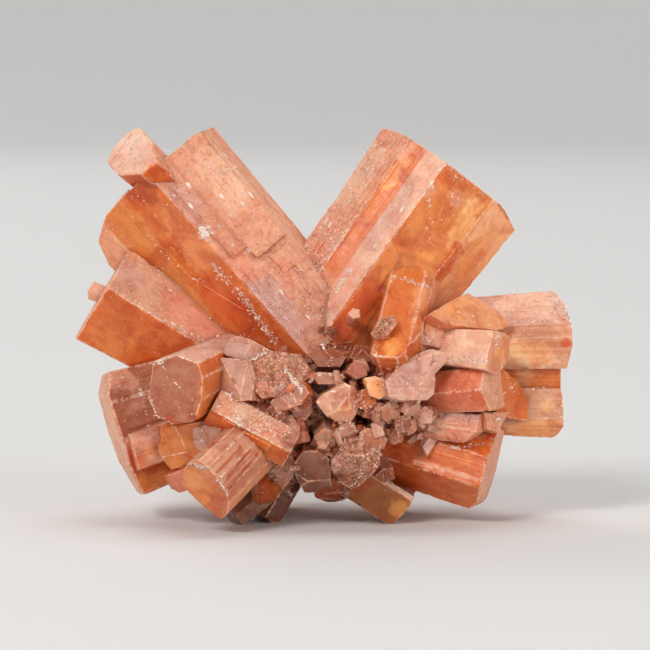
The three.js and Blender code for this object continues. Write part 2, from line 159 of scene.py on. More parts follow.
# %% Name the skins
SKINS = {
    "frosted": ((0.75, 0.325, 0.19), 0.75, 0.8, 0.15),
    "striped": ((0.79, 0.35, 0.21), 0.85, 1.2, 0.4),
    "pale": ((0.86, 0.48, 0.335), 0.58, 0.4, 0.0),
    "peach": ((0.80, 0.32, 0.15), 0.35, 0.4, 0.2),
    "honey": ((0.88, 0.37, 0.165), 0.25, 0.4, 0.7),
    "amber": ((0.69, 0.205, 0.05), 0.12, 0.3, 0.3),
    "orange": ((0.70, 0.162, 0.032), 0.12, 0.4, 0.15),
    "deep": ((0.58, 0.10, 0.018), 0.20, 0.6, 0.2),
    "red": ((0.78, 0.20, 0.085), 0.62, 1.2, 0.0),
    "grey": ((0.72, 0.39, 0.30), 0.65, 0.5, 0.0),
    "mauve": ((0.53, 0.235, 0.155), 0.55, 0.6, 0.0),
    "blush": ((0.65, 0.305, 0.185), 0.60, 0.4, 0.0),
    "straw": ((0.69, 0.335, 0.19), 0.30, 0.4, 0.55),
    "wet": ((0.62, 0.265, 0.155), 0.06, 0.5, 0.1),
    "ribbed": ((0.76, 0.32, 0.195), 0.60, 0.8, 0.9),
    "tan": ((0.53, 0.24, 0.155), 0.40, 0.6, 0.0),
    "dusk": ((0.60, 0.235, 0.13), 0.42, 0.5, 0.2),
    "salmon": ((0.66, 0.19, 0.075), 0.40, 0.5, 0.0),
    "umber": ((0.45, 0.14, 0.072), 0.35, 0.6, 0.0),
    "brown": ((0.38, 0.13, 0.07), 0.05, 0.6, 0.0),
    "glitter": ((0.45, 0.17, 0.09), 0.95, 1.6, 0.0),
    "rust": ((0.48, 0.07, 0.012), 0.15, 0.4, 0.1),
    "ember": ((0.66, 0.11, 0.016), 0.15, 0.4, 0.1),
    "glow": ((0.95, 0.38, 0.10), 0.15, 0.4, 0.2),
    "gold": ((0.92, 0.50, 0.20), 0.25, 0.4, 0.8),
    "rose": ((0.76, 0.25, 0.15), 0.75, 0.8, 0.0),
    "lilac": ((0.58, 0.31, 0.265), 0.70, 0.5, 0.0),
    "cream": ((0.94, 0.60, 0.42), 0.65, 0.4, 0.0),
    "film": ((0.84, 0.40, 0.26), 0.75, 0.5, 0.0),
    # shade is painted shade, brushed where the low heart lies in shadow.
    "shade": ((0.20, 0.05, 0.025), 0.40, 0.6, 0.0),
    "chalk": ((0.95, 0.80, 0.70), 0.90, 0.5, 0.0),
}
TIP_SKIN = "peach"
SIDE_SKIN = "orange"
TIP, ROOT, WORN = -1, -2, -3
print(len(SKINS), "skins")

# %% [markdown]
# ## The crystals
# Each column is told by its root and tip on the sheet, its waist, which is the width at the root
# against the tip, its worn rim, the skins of its sides in the order of the outline, and the skin
# of its end. The outline is drawn in one of three ways. A section is a list of points [across,
# front] about the axis, where across runs clockwise and front faces the sheet, and a crown is the
# line of its end, [across, along] from the tip. A crystal that faces the viewer is drawn by the
# outline of its end face on the sheet. A small one is a ring of corners. ribs gives a side its
# number of ribs and their depth. cuts slope the end: turn and tilt in degrees, and how far out the
# cut starts. plates are thin sheets left by growth, each with its side, the height that it stands
# proud, and its outline in points [across, mm below the tip]. Most have square steps, as stairs
# have. ledges are scattered plates: their number, where they start and end below the tip, and
# their height.

# %% Write a crystal down
def column(root, tip, waist, rim, skins, end=TIP_SKIN, **more):
    """One crystal as named values. A word such as deep*3 in skins counts three times."""
    sides = []
    for word in skins.split():
        skin, _, count = word.partition("*")
        sides += [skin] * int(count or 1)
    return {"root": root, "tip": tip, "waist": waist, "rim": rim, "skins": sides, "end": end,
            **more}


def stairs(*numbers):
    """An outline with square corners, told by what changes at each: across, below, and so on."""
    across, below = numbers[::2], numbers[1::2]
    return [corner for here, beyond, depth in zip(across, across[1:] + across[:1], below)
            for corner in ((here, depth), (beyond, depth))]


# %% Upper left crystals
upper_left_tower = [
    column(  # the tower: striped side, frosted face, clear face
        (-1.7, 21, -1), (-22.6, 44.8, 1.8), 0.9, 0.4, "frosted ribbed orange deep orange*2",
        section=[(0.3, 7.2), (8.8, 4), (10.3, -4), (5.2, -8), (-4, -7.5), (-6.8, 1.6)],
        crown=[(-8, -0.4), (-4, 0.2), (2, 0), (11, -0.2)],
        ribs={1: (11, 0.12), 2: (7, 0.2), 3: (5, 0.2)}, ledges={0: (4, 15, 27, 0.06)},
        plates=[
            (0, 0.12, stairs(1, 15.2, 2.9, 17.4, 4.5, 20.2, 2.1, 18.3)),
            (0, 0.22, stairs(4.9, 18.2, 8, 22.8, 6.6, 21.2)),
            (0, 0.15, stairs(2.5, 20, 4.3, 24.4, 3.3, 22.9)),
            (0, 0.12, stairs(5, 22, 6.3, 25.8, 5.6, 24.4)),
            (5, 0.08, [(-5.4, 9), (-4.6, 9), (-4.4, 13.6), (-3.2, 17.6), (-2.2, 20.8),
                (-1.2, 22.6), (-1, 27), (-5.2, 27)]),
            (5, 0.08, [(-1.6, 18.6), (0.1, 18), (0.1, 26.6), (-1.2, 26.6), (-1.2, 20.6),
                (-1.6, 20.6)])]),
    column(  # its rounded left flank
        (-1.7, 21, -1), (-23.2, 44.9, 1.8), 0.8, 0.4, "amber peach orange deep*2",
        section=[(-2.6, 4.4), (-8.6, 1.3), (-12, -2), (-10.4, -6.2), (-2.6, -6.8)],
        crown=[(-2, 0), (-7.3, -0.4), (-10.5, -2), (-12.5, -8)],
        ribs={0: (4, 0.12), 1: (3, 0.15), 2: (3, 0.15)}),
    column(  # slab that steps down the frosted face
        (-11.1, 31.7, 0.2), (-22.6, 44.8, 1.8), 1.02, 0.15, "frosted ribbed frosted salmon",
        root_skin="salmon", section=[(3.6, 5.74), (8.28, 3.98), (8.28, 0), (3.6, 0)],
        plates=[
            (0, 0.05, [(6.9, 5.9), (8.5, 6.2), (8.5, 14.4), (7.6, 14.4), (7.6, 12.2),
                (6.9, 12.2)]),
            (0, 0.05, stairs(4.2, 9.4, 5.4, 15.6, 4.8, 13))]),
    column(  # thinner slab beside it
        (-12.4, 33.3, 0.4), (-22.6, 44.8, 1.8), 1.02, 0.1, "frosted*3 salmon", root_skin="salmon",
        section=[(1.3, 6.54), (3.8, 5.6), (3.8, 0), (1.3, 0)]),
]
knob = [
    column(  # the knob
        (-17.4, 40.6, 4), (-25.2, 47.8, -2), 0.85, 0.5, "peach*3 frosted*2 orange deep*2", "pale",
        cuts=[(200, 14, 0.5)],
        face=[(-28.6, 46.9), (-28.2, 48.8), (-26, 50.8), (-24.1, 51.2), (-22.4, 49.4),
              (-21.8, 46.9), (-24, 45.2), (-26.9, 45)]),
]

# %% Left and lower left crystals
left_blade = [
    column(  # the blade
        (-5.8, 14.8, 1), (-29.3, 28.9, 0), 0.72, 0.3, "blush peach orange deep*2 orange",
        section=[(2.2, 5.4), (7.7, 1.5), (6.5, -5.2), (-1.3, -8), (-6.5, -5.2), (-6, 1)],
        ribs={1: (5, 0.15), 2: (4, 0.2)}, ledges={0: (2, 9, 20, 0.05)},
        plates=[
            (0, 0.07, [(2.4, 9.6), (7, 7.4), (7, 12.6), (6.2, 12.6), (6.2, 20.6), (2.2, 20.6)]),
            (0, 0.06, stairs(3.4, 12.4, 4.6, 18.6, 4, 16.2))]),
    column(  # thin crystal behind it
        (-18, 25.4, 2), (-30.5, 30, 5), 0.9, 0.2, "pale peach*2 pale", "pale",
        section=[(0, 1.3), (1.3, 0.2), (0, -1.6), (-1.2, 0)]),
]
lower_left_stub = [
    column(  # the stub
        (-5.5, 18.2, 2), (-27.2, 11, -2), 0.78, 0.5, "umber*2 orange deep*3 peach",
        section=[(8.5, 2.6), (4.7, 4.9), (-0.5, 5.7), (-8.4, 1.3), (-8.6, -5.2), (0, -8.5),
                 (8, -5.2)], crown=[(9, -1.8), (4.7, 0.4), (-0.5, 0.6), (-9, -1)],
        ribs={0: (5, 0.12), 1: (4, 0.12), 2: (3, 0.12), 3: (3, 0.12), 6: (5, 0.15)}),
    column(  # box on its end
        (-7, 17.6, 0), (-26.2, 11.2, -3.4), 1, 0.2, "wet honey orange dusk", "peach",
        section=[(0.3, 6.4), (-4.4, 6), (-4.9, 1.6), (0.3, 1.6)],
        ribs={0: (4, 0.1)}),
    column(  # low crystal behind the barrel
        (-9, 14, 0), (-19.3, 4.6, -8), 0.84, 0.2, "red*5", "red",
        face=[(-21.4, 5.6), (-17.6, 6.8), (-17.4, 4), (-19.2, 3.4), (-20.6, 3.5)]),
]
pentagon = [
    column(  # the pentagon
        (-11, 21.2, 1), (-19.4, 17, -17), 0.84, 0.3, "grey*2 orange amber*2 orange mauve*3",
        "umber", cuts=[],
        face=[(-22.4, 20.8), (-19.5, 21.6), (-16.5, 20.6), (-15.9, 18.6), (-16.1, 15.7),
              (-16.9, 12.9), (-20, 12.4), (-22, 13.6), (-23.1, 16.2)]),
    column(  # short crystal under it
        (-11, 16, 0), (-18.8, 10, -12), 0.8, 0.2, "orange*6", "amber",
        face=[(-21.4, 12.2), (-16.6, 12.4), (-15.4, 9.6), (-17.6, 6.9), (-20.4, 6.4), (-21.8, 9)]),
    column(  # second short crystal
        (-8, 16, 0), (-16.2, 10.6, -13.2), 0.8, 0.2, "mauve*6", "grey",
        face=[(-18.6, 11.6), (-16.2, 12.4), (-14, 11.8), (-13.6, 9.8), (-15.4, 8.9), (-18.2, 9.4)]),
]
barrel = [
    column(  # the barrel
        (-3.2, 16.3, -4), (-15.5, 3.9, -17.5), 0.92, 0.25,
        # The pinkish grey of the wet sides along the top is partly painted reflection of the light
        # above.
        "dusk wet*5 dusk peach amber orange deep*3", "salmon", cuts=[],
        face=[(-18.6, 5.7), (-18.3, 6.9), (-17.5, 7.8), (-16.4, 7.8), (-15.2, 6.9), (-13.9, 5.3),
              (-12.9, 3.7), (-12.5, 2.2), (-12.8, 0.7), (-13.6, 0), (-15.9, 1.7), (-17.6, 3.4),
              (-18.5, 4.5)], ribs={3: (2, 0.12), 4: (3, 0.22), 5: (3, 0.22)}),
]

# %% Front crystals
front_crystals = [
    column(  # the bar
        (-14.7, 14.8, -11.4), (-4.4, 9.2, -11.6), 1, 0.3, "frosted orange*2 deep frosted",
        "peach", root_skin="frosted",
        section=[(-2.7, 2.4), (0, 4), (2.3, 2.2), (2.3, -4.5), (-2.7, -4.5)],
        plates=[
            (0, 0.15, stairs(-2.3, 1.4, -1.2, 4.2, -0.4, 8.6)),
            (0, 0.25, stairs(-1.7, 4.4, -0.8, 7.4)),
            (1, 0.3, stairs(0.3, 2.6, 1.2, 4.6, 2, 6.4)),
            (1, 0.2, stairs(0.2, 7.8, 1, 9.6))]),
    column(  # upper glittering plate
        (-3.2, 17.8, 0), (-6.2, 19.2, -14), 0.84, 0.25, "glitter*4 red*3 glitter*2", "glitter",
        face=[(-8.2, 22.3), (-3.6, 21.8), (-2.3, 20), (-2.7, 18.8), (-4.5, 16.7), (-8.2, 15.9),
              (-10.2, 17.8), (-10.3, 19.7), (-9.1, 21.2)]),
    column(  # lower glittering plate
        (-2, 16.3, 0), (-4.8, 16.1, -14.6), 0.84, 0.25, "glitter orange*4 red", "mauve",
        face=[(-7.4, 15.4), (-3.2, 18.8), (-2.2, 16.6), (-3.2, 15.1), (-5.2, 14.4), (-6.5, 14)]),
    column(  # grey plate
        (-5.8, 19.6, 0), (-10.8, 22.2, -12.6), 0.84, 0.15, "grey*3 red*3 grey", "mauve",
        face=[(-12.6, 23.7), (-11.6, 24.1), (-9.5, 23.6), (-8.2, 22.6), (-9.1, 21.2),
              (-11.1, 20.4), (-13.3, 21.9)]),
    column(  # block beside the pentagon
        (-5.8, 17.6, 0), (-12.6, 18.3, -13.4), 0.84, 0.2, "mauve*4 red*3", "tan",
        face=[(-15.9, 19.9), (-13.4, 21.3), (-10, 20.9), (-9.5, 18.6), (-9.8, 15.7),
              (-12.9, 15.4), (-15.6, 14.4)]),
    column(  # inner prism
        (0.6, 16.3, 0), (1.7, 15, -13.8), 0.84, 0.25, "wet*2 brown amber*2 orange brown wet",
        "wet", cuts=[(55, 24, 0), (275, 34, 0.35), (185, 30, 0.3)],
        face=[(-1.2, 15.3), (-0.4, 16.3), (2.6, 18), (4, 17.3), (4.8, 15.7), (4.3, 14),
              (3.1, 12.2), (0.4, 13.3)]),
    column(  # bead beside it
        (-1.3, 16.3, 0), (-3, 14, -12.2), 0.84, 0.25, "brown*6", "brown",
        face=[(-4.5, 13.7), (-3.2, 15.4), (-1.8, 15.7), (-1.6, 14.1), (-2.9, 12.6), (-4.3, 12.1)]),
    column(  # small bench
        (0.3, 17.6, 0), (0.4, 18.6, -11.8), 0.9, 0.15, "grey*3 brown*3", "mauve",
        face=[(-2, 18.8), (-0.9, 19.4), (2, 19.2), (2.7, 18.7), (1.7, 17.8), (-0.9, 17.8)]),
    column(  # bench above it
        (0.1, 19.6, 0), (0.2, 21.1, -10.8), 0.9, 0.15, "brown*3 mauve grey*2", "brown",
        face=[(-2.4, 21.8), (-0.9, 20.1), (2, 20.1), (2.8, 21.4), (1.7, 22.3), (-1.2, 22.5)]),
    column(  # amber crystal
        (6, 16.5, 0), (6.9, 17.4, -14.2), 0.9, 0.15, "peach*6", "honey",
        face=[(5, 18.6), (6.5, 18.9), (8.4, 18), (8.6, 16.7), (7.1, 15.8), (5.8, 16.3)]),
    column(  # amber crystal at its foot
        (5, 16, 0), (5.4, 15.9, -13.2), 0.9, 0.15, "brown*6", "amber",
        face=[(4.1, 16.4), (5.3, 17.3), (6.4, 16.7), (6.7, 15.3), (5.3, 14.3), (4.3, 14.8)]),
    column(  # brown hexagon
        (6, 12.5, 0), (6.4, 10.5, -12.8), 0.9, 0.15, "brown*7", "dusk",
        face=[(4.5, 11.4), (5.1, 12.1), (7.2, 11.7), (8.2, 10.5), (7.7, 9.3), (6.5, 9.2), (5, 10)]),
    column(  # lower prism
        (2.6, 12.5, 0), (4, 7.3, -12.8), 0.84, 0.25, "brown glitter*2 brown*6", "glitter",
        face=[(0.8, 7.6), (2.6, 10.2), (5.2, 10.5), (7.3, 9), (7.2, 7.1), (6, 5.8), (3.8, 3.9),
              (2.5, 4.5), (0.8, 6.2)]),
    column(  # lower brown prism
        (-0.6, 12, 0), (-1.6, 6, -10.6), 0.84, 0.25, "brown*8", "brown",
        face=[(-3.9, 5.8), (-3.9, 7.6), (-2.9, 9), (-1, 9), (0.6, 7.9), (0.8, 4.3), (-1.4, 3.3),
              (-2.7, 3.1)]),
    column(  # dark crystal underneath
        (0.6, 12, 3), (0.7, 3.4, -4), 0.9, 0.2, "deep*7", "deep",
        face=[(-1.5, 3.2), (-0.1, 1.7), (0.8, 1.7), (1.8, 2), (2.7, 2.8), (2.6, 4.6), (-0.6, 5)]),
]

# %% Feet
feet = [
    column(  # frosted foot crystal, its end to the lower left
        (-4, 8.6, -2.6), (-8.3, 3.4, -9.6), 0.9, 0.2, "orange*7", "orange",
        face=[(-9, 4.9), (-10, 4), (-9.7, 2.2), (-8.7, 1.9), (-6.9, 2.2), (-7.2, 3.2),
              (-8.2, 4.4)]),
    column(  # frosted crystal over it
        (-3.4, 11, -1), (-5.6, 6.2, -9.2), 0.84, 0.2, "grey*2 brown*3 grey", "striped",
        face=[(-9, 4.9), (-4.6, 8.7), (-3.7, 7.4), (-4.2, 5.5), (-6.8, 2.2), (-7.8, 3.4)]),
    column(  # left standing foot
        (-4.4, 6.6, -1), (-12.1, 0.5, -4.6), 0.9, 0.2, "mauve brown*3 mauve*2", "mauve",
        section=[(1.8, 0.4), (1.2, -1.8), (-0.6, -2.4), (-1.8, -1.2), (-1.8, 1.2), (0, 2.2)]),
    column(  # middle standing foot
        (-2.9, 8.6, 1), (-8.1, 0, -1.6), 0.9, 0.2, "brown*6", "brown",
        section=[(2.3, 1.6), (2.3, -1.9), (0, -3.1), (-2.1, -1.9), (-2.1, 1.4), (0, 2.6)]),
    column(  # right standing foot
        (1.6, 6.6, -2.6), (10.4, 1.1, -2.9), 0.95, 0.2, "amber pale orange deep*2 orange", "peach",
        section=[(2.5, 1.4), (-1.9, 2.6), (-2.5, 2.1), (-2.5, -2), (0.5, -2.8), (2.3, -1.8)],
        crown=[(-3, 0.85), (3, -0.85)]),
]

# %% Upper right crystals
upper_right_tower = [
    column(  # the tower: frosted face, amber band, clear faces
        (-4, 16.6, -1.3), (16.9, 45.2, 1.5), 0.84, 0.4,
        "striped orange pale amber honey orange*3 frosted",
        section=[(-11.2, -0.8), (-7.5, 3.5), (-4.9, 4.6), (-2, 6.2), (5.8, 4.7), (10.8, -1),
                 (7.8, -6.5), (-2.6, -8), (-9.7, -5.8)],
        crown=[(-12, -1.2), (-9.5, -0.2), (-1, 0.6), (5.3, 0.3), (8, -0.2), (11.6, -1.6)],
        ribs={0: (4, 0.05), 1: (3, 0.03), 4: (4, 0.08), 5: (6, 0.2), 6: (6, 0.2), 8: (5, 0.2)},
        ledges={0: (4, 8, 28, 0.07), 3: (3, 2, 14, 0.05), 4: (2, 2, 22, 0.06)},
        plates=[
            (0, 0.16, [(-10.6, 12.4), (-8.6, 12.4), (-8.2, 30), (-9.9, 30)]),
            (0, 0.07, stairs(-9.6, 3.4, -8.2, 9.2, -8.9, 7)),
            (1, 0.1, stairs(-7.3, 0.6, -5.1, 1.8, -6.2, 3.4)),
            (3, 0.24, [(-1.7, 12.4), (0.5, 13.6), (0.5, 18.4), (1.2, 18.4), (1.2, 27.6),
                (-1.6, 27.6)]),
            (3, 0.14, [(1.3, 16.2), (2.3, 16.8), (2.3, 24), (1.9, 27.8), (1, 27.8), (1, 18),
                (1.3, 18)]),
            (3, 0.06, [(1, 0.4), (2.4, 0.4), (2.1, 9.4), (3.4, 9.4), (3.4, 14.6), (1.2, 14.6)])]),
    column(  # apron crystal in front of it
        (11.3, 31.2, -3.4), (8.6, 19.6, -12.4), 0.98, 0.45, "amber orange*4 honey", "orange",
        root_skin="frosted",
        section=[(-3.3, 0.9), (-2.6, 2.6), (2.1, 2.9), (3, 1.4), (2.2, -3.1), (-2.9, -2.6)],
        crown=[(-3.5, -6.6), (-3, -4), (-2.3, -0.8), (-1.2, 0), (1.2, 0.1), (2.4, -0.6),
               (3.2, -2.6)]),
    column(  # chip on the apron's edge
        (7.6, 24.6, -9), (7.6, 25.3, -13.2), 0.9, 0.1, "frosted*6", "glitter",
        cuts=[(40, 28, 0.1), (200, 22, 0.3)],
        face=[(5.9, 24.4), (7.2, 26.6), (9, 26.9), (9.4, 25.8), (8, 23.9), (6.7, 23.7)]),
    column(  # small crystal low on the tower
        (3.4, 25.6, -5), (3.9, 27, -9.4), 0.9, 0.1, "rose*5", "film", half=0.8, turn=0.3,
        corners=[1, 1.2, 0.9, 1.1, 1], cuts=[(30, 20, 0.2)]),
    column(  # tiny one beside it
        (0.4, 24.4, -5), (0.6, 25.8, -8.8), 0.9, 0.08, "rose*5", "film", half=0.5, turn=0.1,
        corners=[1, 0.9, 1.1, 1, 0.9]),
]

# %% Right and lower right crystals
right_rails = [
    column(  # upper rail
        # Its grey top side is partly painted reflection of the light above.
        (5.8, 20.1, 2), (32, 20.4, 2), 0.82, 0.4, "grey straw*3 orange*2 peach",
        section=[(-9.7, 0), (-5.6, 3.9), (-3.4, 4.7), (0.2, 4.9), (0.2, -3.9), (-3.9, -6.8),
                 (-9.4, -5.2)],
        crown=[(-10.5, -3), (-7.8, -0.8), (-5.2, -0.1), (-2.9, 0), (1, -1)],
        ribs={0: (2, 0.03), 1: (2, 0.06), 2: (3, 0.06), 3: (3, 0.06), 5: (5, 0.2), 6: (5, 0.2)}),
    column(  # lower rail
        (5.8, 20.1, 2), (30.9, 20.4, 2), 0.82, 0.4, "straw honey orange*3 straw",
        section=[(2.9, 4), (7.9, 3), (9.7, 0.8), (9.1, -4.5), (5.2, -6.8), (2.6, -5.5)],
        crown=[(2, -0.9), (4, -0.2), (7.9, -0.1), (9, -0.7), (10.4, -2.4)],
        ribs={0: (4, 0.08), 1: (3, 0.06), 2: (4, 0.15), 3: (4, 0.2)}),
    column(  # web in the groove between the rails
        (5.8, 20.1, 2), (30.5, 20.4, 2), 0.82, 0.2, "amber orange*3",
        section=[(-0.8, 3.6), (3.4, 3.2), (3.4, -3.9), (-0.8, -3.9)],
        ribs={0: (4, 0.1)}),
]
right_blocks = [
    column(  # peach wedge under the tower
        (11, 22.2, 2), (18.9, 27.3, -6.4), 0.8, 0.2, "peach*8", "peach",
        face=[(13.6, 27), (16, 28.4), (18.6, 29.7), (21.4, 28), (24.3, 25.7), (22.8, 24.8),
              (18.9, 25.2), (15.6, 25.8)]),
    column(  # pale block
        (9.2, 23.4, -2), (22.6, 22.2, -10.2), 0.8, 0.3, "pale*2 peach orange pale", "peach",
        section=[(-2.6, 1.6), (2.3, 3.4), (3.1, 0), (1.3, -3.1), (-2, -2.6)]),
    column(  # pale corner
        (9, 22.2, 0), (13.9, 24.3, -9.4), 0.84, 0.2, "pale*6", "frosted",
        face=[(12.9, 25.3), (13.9, 26.6), (15.7, 25.8), (15.9, 22.5), (13.7, 22.9), (11.8, 23)]),
    column(  # grey-pink face
        (6.5, 16.8, 1), (12, 18.8, -13.2), 0.84, 0.25, "grey*11", "grey",
        face=[(7.9, 18.2), (9.8, 20.1), (12.1, 21.8), (13.9, 22.5), (15.7, 21.9), (16.2, 20.9),
              (14.6, 19.3), (14.7, 16.7), (13.7, 15.8), (10, 15.7), (8.4, 16.1)]),
    column(  # red block
        (8.4, 16, -2), (22, 17, -9.2), 0.85, 0.3, "red*2 ember deep peach", "frosted",
        section=[(-3.4, 2), (-0.5, 3.6), (2.5, 1.6), (2.6, -2.6), (-2.6, -2.6)]),
    column(  # dark wedge
        (13.6, 16.7, 4), (24.3, 16.3, -4.4), 0.84, 0.2, "amber*8", "orange",
        face=[(23.3, 20.9), (25.5, 17.5), (26.4, 15.9), (26.4, 13), (24.3, 13.3), (21.7, 14.5),
              (22.6, 16.7), (22.6, 18.9)]),
    column(  # pale tab
        (15, 13, 2), (22.4, 12.9, -7.2), 0.84, 0.2, "frosted*5", "frosted",
        face=[(20.7, 14.1), (24.2, 14.1), (23.3, 12.6), (23, 11.3), (21.3, 11.8)]),
]
lower_right_log = [
    column(  # ragged pink crystal on the log
        (8, 13.4, -3.5), (20.4, 12, -7.6), 0.9, 0.2, "lilac rose*2 orange peach", "rose",
        section=[(-1.9, 1.3), (0.2, 2.3), (2.1, 1.4), (1.8, -2), (-1.7, -2)],
        crown=[(-2.5, 0), (0.4, 0), (2.5, -2.4)],
        plates=[
            (0, 0.2, stairs(-1.5, 1.2, -0.2, 6.2, -0.8, 4.6)),
            (1, 0.2, stairs(0.5, 2.8, 1.7, 8.4, 1, 6.2))]),
    column(  # the log
        (5.8, 10.8, 0), (21.4, 6.2, -3), 0.88, 0.35, "orange*3 rose orange deep*2", "frosted",
        section=[(5.3, 0.5), (1.7, 5.7), (-2.4, 5), (-5.8, 1.8), (-5.8, -3.9), (0, -6.5),
                 (4.7, -4.7)], crown=[(-7, 0), (3.4, 0.3), (5.6, -1.4)],
        ribs={0: (2, 0.03), 1: (2, 0.05), 2: (2, 0.08), 3: (3, 0.1)}),
]

# %% [markdown]
# ## The crowd at the heart
# Between the large crystals the heart is hidden by small ones. They differ only in place, half
# width and turn, so they share one pentagonal outline.

# %% Small crystals of the heart
CROWD_REACH, CROWD_RIM = 3.2, 0.12
CROWD_CORNERS = [1, 1.15, 0.9, 1.1, 0.95]
CROWD_SKINS = ["brown", "umber", "mauve", "tan", "grey", "brown"]
CROWD = [
    ((9.3, 16.4, -13), 1.3, 0.3), ((6.2, 14.2, -12.6), 1.2, 0.9), ((8.8, 14.3, -12.8), 1.4, 0.1),
    ((11.4, 14.8, -12.2), 1.5, 0.6), ((13.2, 13.6, -10.8), 1.3, 0.2), ((10.4, 12.6, -12), 1.4, 1.1),
    ((9.4, 10.8, -11.6), 1.2, 0.5), ((4.3, 19.6, -12), 1.3, 0.4), ((3, 11.6, -12.4), 1.3, 0.7),
    ((0.2, 10.6, -11.6), 1.5, 0.2), ((-4.9, 12.7, -12), 1.2, 0.8), ((-6.4, 14.2, -13), 1.3, 0.3),
    ((4.9, 21.7, -9.6), 1.5, 0.5), ((8, 5.8, -9), 1.4, 0.6),
]
HEART_UP = 17


def crowd_crystal(index, place, half, turn):
    """A small crystal that ends at its place, with its root a little way back towards the heart."""
    across, up, depth = place
    reach = CROWD_REACH / abs(depth)
    root = (across * (1 - reach), up + (HEART_UP - up) * reach, depth + CROWD_REACH + half)
    skin = CROWD_SKINS[index % len(CROWD_SKINS)]
    return column(root, place, 1, CROWD_RIM, f"{skin}*{len(CROWD_CORNERS)}", skin, half=half,
                  turn=turn, corners=CROWD_CORNERS)


heart_crowd = [crowd_crystal(i, *small) for i, small in enumerate(CROWD)]
print(len(heart_crowd), "small crystals at the heart")

# %% [markdown]
# ## The far side
# Thirteen more crystals of the same habit finish the back. Each is a ring of corners about its
# axis.

# %% Far side crystals
STOUT = [1, 1.12, 0.94, 1.04, 1.1, 0.96]
SLIM = [1, 0.88, 1.08, 0.94, 1.02]
FAR_SIDE = [
    ((0, 18, 2), (6.5, 32, 20.5), 5.6, 0.2, STOUT),
    ((-2, 18, 2), (-17, 31, 16.5), 6.4, 0.7, STOUT),
    ((2, 18, 2), (19.5, 21.5, 17.5), 6.6, 0.4, STOUT),
    ((0, 17, 2), (1, 18.5, 23), 6, 0.1, STOUT),
    ((-2, 16, 2), (-18.5, 13.5, 16.5), 6, 0.9, STOUT),
    ((-1, 15, 3), (-8.5, 4.4, 15.5), 4.8, 0.5, STOUT),
    ((2, 15, 3), (9.2, 4, 13.5), 4.1, 0, STOUT),
    ((-1, 19, 2), (-8, 25.5, 20.5), 3.5, 0.6, SLIM),
    ((2, 19, 2), (13.5, 28.5, 17), 3.4, 0.3, SLIM),
    ((2, 15, 2), (12, 12.6, 19.5), 4, 0.8, SLIM),
    ((-1, 15, 2), (-6, 10.5, 20.5), 3.8, 0.2, SLIM),
    ((-2, 19, 2), (-21, 21.5, 13), 4, 0.5, SLIM),
    ((2, 16, 2), (21.5, 13.2, 12.5), 3.8, 0.1, SLIM),
]
FAR_SKINS = ["frosted", "amber", "orange", "honey", "striped", "peach", "deep"]
FAR_ENDS = ["amber", "peach", "frosted", "orange"]
FAR_WAIST, FAR_RIM, FAR_RIB_DEPTH = 0.75, 0.35, 0.12


def far_crystal(index, root, tip, half, turn, corners):
    """A crystal of the far side. Its skins and ribs follow from its number in the list."""
    sides = range(len(corners))
    skins = [FAR_SKINS[(3 * index + 2 * side) % len(FAR_SKINS)] for side in sides]
    ribs = {side: (3 + (index + side) % 4, FAR_RIB_DEPTH) for side in sides}
    return column(root, tip, FAR_WAIST, FAR_RIM, " ".join(skins), FAR_ENDS[index % len(FAR_ENDS)],
                  half=half, turn=turn, corners=corners, ribs=ribs)


far_crystals = [far_crystal(i, *far) for i, far in enumerate(FAR_SIDE)]
print(len(far_crystals), "crystals on the far side")
